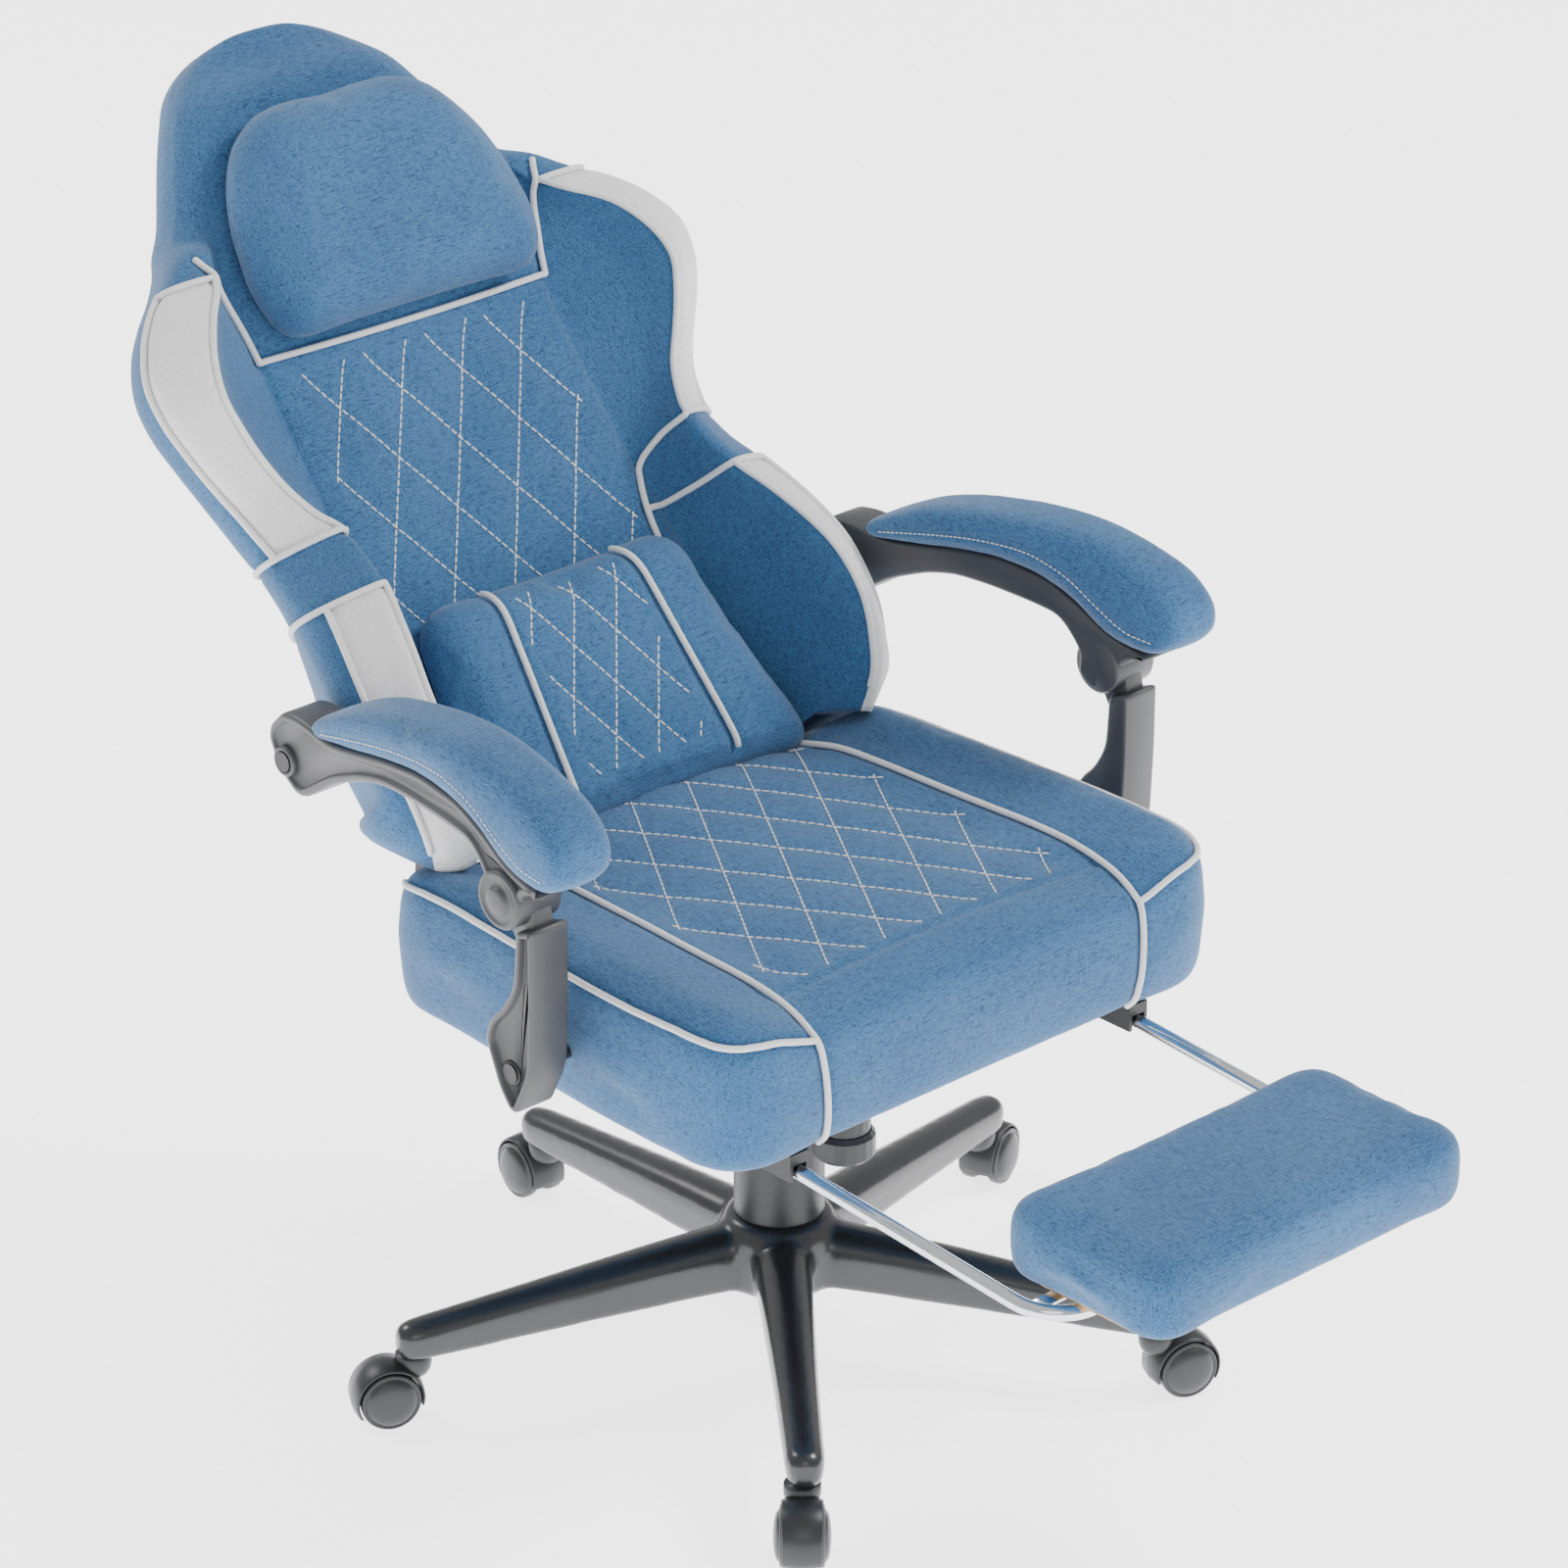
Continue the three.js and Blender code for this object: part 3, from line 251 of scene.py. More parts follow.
class Shader:
    """A material's node tree, with short ways to add and join nodes."""

    def __init__(self, name):
        self.material = bpy.data.materials.new(name)
        self.material.use_nodes = True
        self.nodes = self.material.node_tree.nodes
        self.links = self.material.node_tree.links
        self.surface = self.nodes["Principled BSDF"]
        self.place = self.nodes.new("ShaderNodeTexCoord").outputs["Object"]

    def set(self, **values):
        for name, value in values.items():
            self.surface.inputs[name.replace("_", " ")].default_value = value

    def join(self, output, socket):
        self.links.new(output, socket)

    def noise(self, scale, detail=2.0, turn=0.0, seed=0.0, rough=0.5):
        """Noise whose grain is 1/scale metres along each axis, after a turn about X."""
        turned = self.nodes.new("ShaderNodeMapping")
        turned.inputs["Rotation"].default_value = (turn, 0, 0)
        self.join(self.place, turned.inputs["Vector"])
        sized = self.nodes.new("ShaderNodeMapping")
        sized.inputs["Scale"].default_value = scale
        sized.inputs["Location"].default_value = (seed, seed * 1.7, seed * 2.3)
        self.join(turned.outputs["Vector"], sized.inputs["Vector"])
        noise = self.nodes.new("ShaderNodeTexNoise")
        noise.inputs["Scale"].default_value = 1
        noise.inputs["Detail"].default_value = detail
        noise.inputs["Roughness"].default_value = rough
        self.join(sized.outputs["Vector"], noise.inputs["Vector"])
        return noise.outputs["Fac"]

    def ramp(self, value, low, high, to_low=0.0, to_high=1.0):
        node = self.nodes.new("ShaderNodeMapRange")
        node.interpolation_type = "SMOOTHSTEP"
        for name, number in (("From Min", low), ("From Max", high), ("To Min", to_low), ("To Max", to_high)):
            node.inputs[name].default_value = number
        self.join(value, node.inputs["Value"])
        return node.outputs["Result"]

    def math(self, kind, a, b):
        node = self.nodes.new("ShaderNodeMath")
        node.operation = kind
        for i, value in enumerate((a, b)):
            if isinstance(value, (int, float)):
                node.inputs[i].default_value = value
            else:
                self.join(value, node.inputs[i])
        return node.outputs["Value"]

    def mix(self, share, a, b):
        node = self.nodes.new("ShaderNodeMix")
        node.data_type = "RGBA"
        self.join(share, node.inputs["Factor"])
        for socket, value in ((node.inputs[6], a), (node.inputs[7], b)):
            if isinstance(value, tuple):
                socket.default_value = value
            else:
                self.join(value, socket)
        return node.outputs[2]

    def bump(self, height, distance, strength=1.0):
        node = self.nodes.new("ShaderNodeBump")
        node.inputs["Distance"].default_value = distance
        node.inputs["Strength"].default_value = strength
        self.join(height, node.inputs["Height"])
        self.join(node.outputs["Normal"], self.surface.inputs["Normal"])


def woven(name, dark, mid, light, turn, flecks=0.8, coarse=1.0):
    """Linen-look cloth: slub threads along three axes, darker and lighter than the ground."""
    s = Shader(name)
    fine, long = 1100 / coarse, 130 / coarse
    threads = [
        s.noise((long, fine, fine), turn=turn, seed=3),
        s.noise((fine, long, fine), turn=turn, seed=11),
        s.noise((fine, fine, long), turn=turn, seed=23),
    ]
    shade = s.math("MAXIMUM", s.ramp(threads[0], 0.55, 0.7), s.ramp(threads[1], 0.55, 0.7))
    shade = s.math("MAXIMUM", shade, s.ramp(threads[2], 0.57, 0.72))
    gleam = s.math("MAXIMUM", s.ramp(threads[0], 0.46, 0.32), s.ramp(threads[1], 0.46, 0.32))
    patch = s.noise((9, 9, 9), detail=3)
    ground = s.mix(s.ramp(patch, 0.3, 0.7, 0.0, 0.35), mid, light)
    ground = s.mix(s.math("MULTIPLY", gleam, 0.55), ground, light)
    colour = s.mix(s.math("MULTIPLY", shade, flecks), ground, dark)
    s.join(colour, s.surface.inputs["Base Color"])
    weave = s.math("ADD", s.math("ADD", threads[0], threads[1]), threads[2])
    s.bump(weave, 0.0007, 0.55)
    s.set(Roughness=0.92, Sheen_Weight=0.25, Sheen_Roughness=0.45)
    s.set(Specular_IOR_Level=0.25)
    return s.material


def moulded(name, colour, roughness, grain=1400, depth=0.00012, coat=0.0):
    """Moulded plastic or paint with a fine grain and slightly uneven gloss."""
    s = Shader(name)
    tone = s.noise((14, 14, 14), detail=3)
    lighter = tuple(min(1, c * 1.35 + 0.004) for c in colour[:3]) + (1,)
    s.join(s.mix(s.ramp(tone, 0.35, 0.75, 0.0, 0.5), colour, lighter), s.surface.inputs["Base Color"])
    s.join(s.ramp(tone, 0.3, 0.8, roughness * 0.88, roughness * 1.12), s.surface.inputs["Roughness"])
    s.bump(s.noise((grain, grain, grain), detail=3), depth, 0.6)
    s.set(Coat_Weight=coat, Coat_Roughness=0.2)
    return s.material


def metal(name, colour, roughness, brush=(40, 900, 900)):
    """Bare metal with faint drawing marks."""
    s = Shader(name)
    marks = s.noise(brush, detail=4)
    s.join(s.ramp(marks, 0.2, 0.8, roughness * 0.7, roughness * 1.4), s.surface.inputs["Roughness"])
    darker = tuple(c * 0.86 for c in colour[:3]) + (1,)
    s.join(s.mix(s.ramp(marks, 0.35, 0.7), darker, colour), s.surface.inputs["Base Color"])
    s.bump(marks, 0.00004, 0.3)
    s.set(Metallic=1.0)
    return s.material


def wood(name):
    s = Shader(name)
    grain = s.noise((6, 90, 420), detail=5)
    ply = s.noise((4, 4, 650), detail=1, seed=5)
    colour = s.mix(s.ramp(grain, 0.35, 0.7), srgb(196, 160, 112), srgb(150, 112, 70))
    colour = s.mix(s.ramp(ply, 0.5, 0.6, 0.0, 0.5), colour, srgb(120, 86, 54))
    s.join(colour, s.surface.inputs["Base Color"])
    s.bump(grain, 0.0003, 0.5)
    s.set(Roughness=0.7)
    return s.material


BLUE = (srgb(26, 54, 86), srgb(54, 98, 142), srgb(80, 128, 172))
SEAT_CLOTH = woven("blue_cloth_level", *BLUE, turn=0.0)
BACK_CLOTH = woven("blue_cloth_back", *BLUE, turn=RECLINE)
WHITE = (srgb(196, 196, 198), srgb(228, 228, 229), srgb(240, 240, 240))
TRIM_CLOTH = woven("white_cloth", *WHITE, turn=RECLINE, flecks=0.55)
PIPING_CLOTH = woven("white_piping", *WHITE, turn=0.4, flecks=0.3, coarse=0.7)
THREAD = woven("white_thread", *WHITE, turn=0.2, flecks=0.2, coarse=0.5)
BASE_PAINT = moulded("base_paint", srgb(30, 31, 33), 0.28, grain=900, depth=0.00006, coat=0.25)
CASTOR_PLASTIC = moulded("castor_plastic", srgb(34, 35, 37), 0.38)
ARM_PLASTIC = moulded("arm_plastic", srgb(62, 63, 66), 0.42, grain=1800)
BLACK_PLASTIC = moulded("black_plastic", srgb(32, 33, 35), 0.42)
BLACK_METAL = moulded("black_metal", srgb(30, 30, 32), 0.5, grain=700, depth=0.0002)
STEEL = metal("steel", srgb(170, 172, 176), 0.34)
CHROME = metal("chrome", srgb(226, 228, 232), 0.09)
PLYWOOD = wood("plywood")


# ---------- mesh helpers ----------
def mesh_piece(name, vertices, faces, materials, face_slots=None):
    """A smooth-shaded mesh piece from points in millimetres."""
    mesh = bpy.data.meshes.new(name)
    mesh.from_pydata((np.asarray(vertices) * MM).tolist(), [], faces)
    for material in materials:
        mesh.materials.append(material)
    if face_slots is not None:
        mesh.polygons.foreach_set("material_index", np.asarray(face_slots, np.int32))
    mesh.polygons.foreach_set("use_smooth", np.ones(len(mesh.polygons), bool))
    mesh.update()
    piece = bpy.data.objects.new(name, mesh)
    scene.collection.objects.link(piece)
    return piece


def face_out(piece):
    """Turns a closed mesh's faces outwards."""
    mesh = piece.data
    mesh.calc_loop_triangles()
    co = coordinates(mesh)
    tri = np.array([t.vertices for t in mesh.loop_triangles])
    a, b, c = co[tri[:, 0]], co[tri[:, 1]], co[tri[:, 2]]
    if np.einsum("ij,ij->", a, np.cross(b, c)) < 0:
        mesh.flip_normals()
    return piece


def coordinates(mesh):
    co = np.zeros(len(mesh.vertices) * 3, np.float32)
    mesh.vertices.foreach_get("co", co)
    return co.reshape(-1, 3).astype(float) / MM


def normals(mesh):
    n = np.zeros(len(mesh.vertices) * 3, np.float32)
    mesh.vertices.foreach_get("normal", n)
    return n.reshape(-1, 3).astype(float)


def set_coordinates(mesh, co):
    mesh.vertices.foreach_set("co", (np.asarray(co) * MM).astype(np.float32).ravel())
    mesh.update()


def ring_piece(name, rings, materials, slot_of=None):
    """A closed piece through closed rings of equal point count, capped at both ends."""
    rings = np.asarray(rings, float)
    rows, count = rings.shape[:2]
    faces, slots = [], []
    for i in range(rows - 1):
        for j in range(count):
            k = (j + 1) % count
            faces.append((i * count + j, i * count + k, (i + 1) * count + k, (i + 1) * count + j))
            slots.append(slot_of(i, j) if slot_of else 0)
    faces.append(tuple(range(count))[::-1])
    faces.append(tuple((rows - 1) * count + j for j in range(count)))
    slots += [0, 0]
    return face_out(mesh_piece(name, rings.reshape(-1, 3), faces, materials, slots))


def spline(points, steps):
    """A smooth curve through points along the first axis, with steps samples to each span."""
    p = np.asarray(points, float)
    q = np.concatenate([[2 * p[0] - p[1]], p, [2 * p[-1] - p[-2]]])
    spans = [steps] * (len(p) - 1) if isinstance(steps, int) else steps
    out = []
    for i, n in enumerate(spans):
        t = (np.arange(n) / n).reshape((-1,) + (1,) * (p.ndim - 1))
        a, b, c, d = q[i : i + 4]
        curve = 2 * b + (c - a) * t + (2 * a - 5 * b + 4 * c - d) * t**2 + (3 * b - a - 3 * c + d) * t**3
        out.append(curve / 2)
    return np.concatenate(out + [p[-1:]])


def evenly(path, spacing):
    """The same path with points at an even spacing."""
    path = np.asarray(path, float)
    length = np.concatenate([[0], np.cumsum(np.linalg.norm(np.diff(path, axis=0), axis=1))])
    at = np.linspace(0, length[-1], max(2, int(length[-1] / spacing) + 1))
    return np.stack([np.interp(at, length, path[:, k]) for k in range(path.shape[1])], 1)


def tube_rings(path, radii, sides):
    """Rings of a round section along a path, without twist."""
    path = np.asarray(path, float)
    tangents = np.gradient(path, axis=0)
    tangents /= np.linalg.norm(tangents, axis=1)[:, None]
    side = np.cross(tangents[0], [0, 0, 1] if abs(tangents[0][2]) < 0.8 else [1, 0, 0])
    turn = np.linspace(0, 2 * math.pi, sides, endpoint=False)[:, None]
    rings = []
    for point, tangent, radius in zip(path, tangents, radii):
        side = side - tangent * (side @ tangent)
        side /= np.linalg.norm(side)
        other = np.cross(tangent, side)
        rings.append(point + radius * (np.cos(turn) * side + np.sin(turn) * other))
    return np.array(rings)


def tube(name, path, radius, material, sides=12, spacing=3.0):
    """A round cord or bar with rounded ends."""
    path = evenly(path, spacing)
    start, end = path[0] - path[1], path[-1] - path[-2]
    start, end = start / np.linalg.norm(start), end / np.linalg.norm(end)
    before = [path[0] + start * radius * 0.8, path[0] + start * radius * 0.5]
    after = [path[-1] + end * radius * 0.5, path[-1] + end * radius * 0.8]
    whole = np.concatenate([before, path, after])
    radii = [radius * 0.4, radius * 0.82] + [radius] * len(path) + [radius * 0.82, radius * 0.4]
    return ring_piece(name, tube_rings(whole, radii, sides), [material])


def lathe_rings(profile, sides=64):
    """Rings about Z for a profile of [radius, height] pairs."""
    turn = np.linspace(0, 2 * math.pi, sides, endpoint=False)
    return np.array([[(r * math.cos(a), r * math.sin(a), h) for a in turn] for r, h in profile])


def rounded_outline(corners, steps=8):
    """Points of a closed outline whose corners [a, b, radius] are rounded by arcs of tangent."""
    out = []
    for i, (a, b, radius) in enumerate(corners):
        here = np.array([a, b], float)
        before = np.array(corners[i - 1][:2]) - here
        after = np.array(corners[(i + 1) % len(corners)][:2]) - here
        reach = min(radius, 0.48 * np.linalg.norm(before), 0.48 * np.linalg.norm(after))
        if reach <= 0:
            out.append(here)
            continue
        p, q = here + before / np.linalg.norm(before) * reach, here + after / np.linalg.norm(after) * reach
        for t in np.linspace(0, 1, steps):
            out.append((1 - t) ** 2 * p + 2 * t * (1 - t) * here + t**2 * q)
    return np.array(out)


def both_sides(corners):
    """Corners given for x > 0 from front to rear, with their mirror images."""
    return list(corners) + [(-a, b, r) for a, b, r in reversed(corners)]


def closed_evenly(outline, count):
    """A closed outline resampled to a number of evenly spaced points."""
    p = np.concatenate([outline, outline[:1]])
    length = np.concatenate([[0], np.cumsum(np.linalg.norm(np.diff(p, axis=0), axis=1))])
    at = np.linspace(0, length[-1], count, endpoint=False)
    return np.stack([np.interp(at, length, p[:, k]) for k in range(2)], 1)


def inset(outline, depth):
    """A closed outline moved inwards, for small depths."""
    after, before = np.roll(outline, -1, 0), np.roll(outline, 1, 0)
    along = after - before
    along /= np.linalg.norm(along, axis=1)[:, None]
    normal = np.stack([along[:, 1], -along[:, 0]], 1)
    area = np.sum(outline[:, 0] * after[:, 1] - after[:, 0] * outline[:, 1])
    return outline - normal * depth * (1 if area > 0 else -1)


def surface_of(piece):
    return BVHTree.FromObject(piece, bpy.context.evaluated_depsgraph_get())


def drape(points, direction, surface, lift=0.0):
    """Each point moved along direction to the surface, then lifted off it by lift."""
    way = Vector(direction).normalized()
    out = []
    for point in np.asarray(points, float):
        hit, normal, _, _ = surface.ray_cast(Vector(point * MM) - way * 0.25, way, 0.6)
        if hit is not None:
            if normal.dot(way) > 0:
                normal = -normal
            out.append(np.array(hit) / MM + np.array(normal) * lift)
    return np.array(out)


def distances(points, path):
    """Distance from each point to the nearest point of a path."""
    tree = KDTree(len(path))
    for i, p in enumerate(path):
        tree.insert(p, i)
    tree.balance()
    return np.array([tree.find(p)[2] for p in points])


def press_seam(piece, path, depth=2.5, width=5.0):
    """Draws the surface in along a seam."""
    mesh = piece.data
    co = coordinates(mesh)
    near = np.exp(-((distances(co, evenly(path, 3.0)) / width) ** 2))
    set_coordinates(mesh, co - normals(mesh) * (near * depth)[:, None])


def replace_mesh(piece, modifier_kinds):
    """Applies modifiers, given as (kind, settings) pairs, to a piece's mesh."""
    for kind, settings in modifier_kinds:
        modifier = piece.modifiers.new(kind.lower(), kind)
        for name, value in settings.items():
            setattr(modifier, name, value)
        graph = bpy.context.evaluated_depsgraph_get()
        made = bpy.data.meshes.new_from_object(piece.evaluated_get(graph))
        materials = list(piece.data.materials)
        piece.modifiers.clear()
        piece.data = made
        piece.data.materials.clear()
        for material in materials:
            piece.data.materials.append(material)
    piece.data.polygons.foreach_set("use_smooth", np.ones(len(piece.data.polygons), bool))
    return piece


def plump(piece, voxel=6.0, pressure=4.0, most=8.0, tension=15.0):
    """Remeshes a closed pad and fills it like a sewn cover under pressure."""
    replace_mesh(piece, [("REMESH", {"mode": "VOXEL", "voxel_size": voxel * MM})])
    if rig.quick():
        return replace_mesh(piece, [("SMOOTH", {"factor": 0.5, "iterations": 4})])
    rest = coordinates(piece.data)
    cloth = piece.modifiers.new("cloth", "CLOTH")
    cloth.settings.use_pressure = True
    cloth.settings.uniform_pressure_force = pressure
    cloth.settings.tension_stiffness = tension
    cloth.settings.compression_stiffness = tension
    cloth.settings.effector_weights.gravity = 0
    for number in range(1, 21):
        scene.frame_set(number)
    graph = bpy.context.evaluated_depsgraph_get()
    blown = piece.evaluated_get(graph).to_mesh()
    move = coordinates(blown) - rest
    piece.evaluated_get(graph).to_mesh_clear()
    piece.modifiers.clear()
    scene.frame_set(1)
    size = np.linalg.norm(move, axis=1)[:, None]
    move *= most * np.tanh(size / most) / np.maximum(size, 1e-6)
    set_coordinates(piece.data, rest + move)
    return replace_mesh(piece, [("SMOOTH", {"factor": 0.5, "iterations": 3})])


def refine(piece):
    return replace_mesh(piece, [("SUBSURF", {"levels": 1, "render_levels": 1})])


# ---------- sewn detail ----------
# Width and height of one quilted diamond.
SEAT_DIAMOND = (58.0, 92.0)
BACK_DIAMOND = (62.0, 104.0)
LUMBAR_DIAMOND = (44.0, 78.0)


def diamonds(across, along, wide, tall):
    """How far from a diamond stitch line a place is: 0 on a line, 1 in the middle of a diamond."""
    a = np.abs(np.sin(math.pi * (across / wide + along / tall)))
    b = np.abs(np.sin(math.pi * (across / wide - along / tall)))
    return (a * b) ** 0.45


def diamond_lines(inside, wide, tall, reach, spacing=2.0):
    """The stitch lines of a diamond pattern as runs of (across, along) points that are inside."""
    runs = []
    along = np.arange(-reach, reach, spacing)
    for slope in (1, -1):
        for k in range(-24, 25):
            across = slope * (k - along / tall) * wide
            keep = inside(across, along)
            run = []
            for s, t, ok in zip(across, along, keep):
                if ok:
                    run.append((s, t))
                elif len(run) > 4:
                    runs.append(np.array(run))
                    run = []
                else:
                    run = []
            if len(run) > 4:
                runs.append(np.array(run))
    return runs


def stitches(name, runs, material, radius=0.8, length=6.0, gap=1.2, sides=6):
    """Thread stitches along runs of points, all in one piece."""
    vertices, faces = [], []
    for run in runs:
        run = evenly(run, 1.2)
        per, rest = max(2, round(length / 1.2)), max(1, round(gap / 1.2))
        for start in range(0, len(run) - per, per + rest):
            points = run[[start, start + 1, start + per - 1, start + per]]
            radii = [radius * 0.4, radius, radius, radius * 0.4]
            base = len(vertices)
            for ring in tube_rings(points, radii, sides):
                vertices.extend(ring)
            for i in range(3):
                for j in range(sides):
                    k = (j + 1) % sides
                    a, b = base + i * sides, base + (i + 1) * sides
                    faces.append((a + j, a + k, b + k, b + j))
            faces.append(tuple(base + j for j in range(sides))[::-1])
            faces.append(tuple(base + 3 * sides + j for j in range(sides)))
    return mesh_piece(name, vertices, faces, [material])


# ---------- the seat ----------
def seat_top(x, y):
    """Height of the seat's top over the floor, from the swivel axis."""
    a = np.abs(x)
    centre = 428 + 7 * (1 - np.clip(a / 168, 0, 1) ** 2)
    share = np.clip((a - 168) / 100, 0, 1)
    bolster = 428 + 17 * np.sin(share * math.pi * 0.62)
    top = np.where(a < 168, centre, bolster)
    front = np.clip((-150 - y) / 70, 0, 1)
    rear = np.clip((y - 60) / 120, 0, 1)
    return top - 5 * front**2 - 8 * rear**2 * np.clip(a / 168, 0, 1)


SEAT_CORNERS = [(262, -232, 92), (270, -118, 60), (251, 185, 46)]


def side_piping_points(side):
    """The seat's top edge, from the front of the centre piping round to the rear corner."""
    edge = inset(rounded_outline(both_sides(SEAT_CORNERS), 14), 10)
    edge = edge[: len(edge) // 2]
    edge = edge[(edge[:, 0] > 172) & (edge[:, 1] < 166)]
    return [(side * 169, edge[0][1])] + [(side * x, y) for x, y in edge]


def seat_quilt(x, y):
    """1 inside the seat's quilted panel, easing to 0 at its edges."""
    return np.clip((152 - np.abs(x)) / 12, 0, 1) * np.clip((y + 172) / 12, 0, 1)


def add_seat():
    outline = closed_evenly(rounded_outline(both_sides(SEAT_CORNERS)), 120)
    levels = [(325, 16), (326, 9), (332, 3), (345, 0), (385, -3), (415, 0), (427, 4), (434, 11), (436, 20)]
    rings = []
    for z, depth in levels:
        edge = inset(outline, depth)
        lifted = 325 + (z - 325) / 111 * (seat_top(edge[:, 0], edge[:, 1]) - 325)
        rings.append(from_swivel(np.column_stack([edge, lifted])))
    for scale in (0.8, 0.55, 0.3, 0.1, 0.02):
        edge = inset(outline, 20) * scale
        rings.append(from_swivel(np.column_stack([edge, seat_top(edge[:, 0], edge[:, 1])])))
    cushion = ring_piece("seat_cushion_cover", rings, [SEAT_CLOTH])
    plump(cushion, voxel=6.0, most=5.0)
    refine(cushion)
    surface = surface_of(cushion)
    down = (0, 0, -1)
    paths = {}
    for name, side in SIDES.items():
        flat = [(x, y, ABOVE) for x, y in side_piping_points(side)]
        paths["seat_piping_side_" + name] = drape(from_swivel(evenly(flat, 4.0)), down, surface, PIPING_LIFT)
        centre = [(158, 150), (163, 60), (166, -29), (170, -107), (170, -180), (168, -222)]
        top = [(side * x, y, ABOVE) for x, y in centre]
        over = drape(from_swivel(spline(top, 12)), down, surface, PIPING_LIFT)
        face = [(side * (168 - 6 * t), -500, 420 - 92 * t) for t in np.linspace(0, 1, 24)]
        fall = drape(from_swivel(face), (0, 1, 0), surface, PIPING_LIFT)
        fall = fall[fall[:, 2] < over[-1][2] - 4]
        joined = np.concatenate([over[::6], over[-1:], fall[::3], fall[-1:]])
        paths["seat_piping_centre_" + name] = spline(joined, 4)
    across = [(x, -176, ABOVE) for x in np.linspace(-166, 166, 40)]
    front_seam = drape(from_swivel(across), down, surface)
    for path in list(paths.values()) + [front_seam]:
        press_seam(cushion, path)
    mesh = cushion.data
    co, normal = coordinates(mesh), normals(mesh)
    x, y = co[:, 0], co[:, 1] - SWIVEL_Y
    sunk = seat_quilt(x, y) * (normal[:, 2] > 0.5) * (1 - diamonds(x, y, *SEAT_DIAMOND))
    set_coordinates(mesh, co - normal * (3.0 * sunk)[:, None])
    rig.padded(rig.slot(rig.replaces(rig.ride(cushion, "seat"), "seat_cushion"), "blue_fabric"), fill=0.8)
    for name, path in paths.items():
        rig.ride(tube(name, path, PIPING_R, PIPING_CLOTH), "seat")
    surface = surface_of(cushion)
    inside = lambda s, t: (np.abs(s) < 150) & (t > -170) & (t < 176)
    runs = diamond_lines(inside, *SEAT_DIAMOND, reach=260)
    draped = [drape(from_swivel([(s, t, ABOVE) for s, t in run]), down, surface, 0.35) for run in runs]
    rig.ride(stitches("seat_quilting", [d for d in draped if len(d) > 4], THREAD), "seat")



# ---------- the back ----------
# Rows up the back: height v, where the bolster starts, its inner edge and its outer edge as
# (x, w), and the side's x.
HIP_ROWS = [
    (61, 162, (214, 167), (247, 140), 252),
    (88, 162, (213, 170), (248, 142), 253),
    (117, 162, (209, 168), (247, 141), 252),
    (146, 162, (201, 161), (242, 136), 249),
    (177, 161, (191, 150), (234, 127), 243),
    (208, 159, (180, 136), (225, 115), 236),
    (236, 154, (176, 123), (217, 101), 229),
    (263, 151, (177, 112), (215, 90), 226),
    (282, 150, (186, 102), (219, 85), 228),
    (308, 150, (198, 98), (229, 83), 234),
    (335, 150, (212, 104), (245, 87), 245),
    (362, 150, (223, 112), (259, 94), 258),
    (389, 150, (229, 118), (268, 99), 268),
    (419, 150, (221, 117), (268, 101), 269),
    (449, 150, (202, 110), (252, 97), 254),
    (474, 150, (176, 94), (229, 89), 230),
    (494, 149, (162, 80), (203, 79), 205),
    (514, 142, (152, 72), (181, 70), 184),
]
# The head's outline above the shoulders, as (height v, half-width).
HEAD_OUTLINE = [(533, 167), (552, 153), (579, 139), (604, 126), (630, 110), (655, 89), (673, 62), (681, 34)]


def lump(v, low, high, soft):
    """1 between two heights, easing to 0 over soft on either side."""
    rise = np.clip((v - low) / soft + 0.5, 0, 1)
    fall = np.clip((high - v) / soft + 0.5, 0, 1)
    return (rise * rise * (3 - 2 * rise)) * (fall * fall * (3 - 2 * fall))


def rear_w(v):
    t = np.clip((v - 380) / 304, 0, 1)
    return -32 + 28 * t * t * (3 - 2 * t)


def panel_w(v):
    """The centre panel's front, which steps out a little at the head panel."""
    return 61 + 7 * lump(v, 419, 640, 12)


def bolster_row(v, base, inner, outer, side_x):
    """Half a ring of the back, from the middle of its front round to the middle of its rear."""
    front, rear = panel_w(v), rear_w(v)
    (ix, iw), (ox, ow) = inner, outer
    return [
        (0, v, front + 3),
        (base * 0.5, v, front + 2),
        (base - 14, v, front),
        (base, v, front - 1),
        (base + 0.62 * (ix - base), v, front + 0.45 * (iw - front)),
        (ix, v, iw),
        ((ix + ox) / 2 + 2, v, (iw + ow) / 2 + 4),
        (ox, v, ow),
        (side_x + 1, v, ow - 20),
        (side_x - 8, v, ow - 50),
        (side_x - 48, v, ow * 0.12),
        (base * 0.72, v, rear + 1),
        (0, v, rear - 2),
    ]


def head_row(v, half):
    front = panel_w(v) - 14 * np.clip((v - 600) / 84, 0, 1) ** 2
    rear = rear_w(v)
    mid = (front + rear) / 2
    return [
        (0, v, front + 2),
        (half * 0.42, v, front + 1),
        (half * 0.7, v, front - 1),
        (half * 0.79, v, front - 3),
        (half * 0.87, v, front - 6),
        (half * 0.93, v, front - 10),
        (half * 0.965, v, front - 15),
        (half * 0.985, v, front - 21),
        (half, v, mid + 2),
        (half * 0.97, v, mid - 14),
        (half * 0.82, v, rear + 4),
        (half * 0.42, v, rear),
        (0, v, rear - 1),
    ]


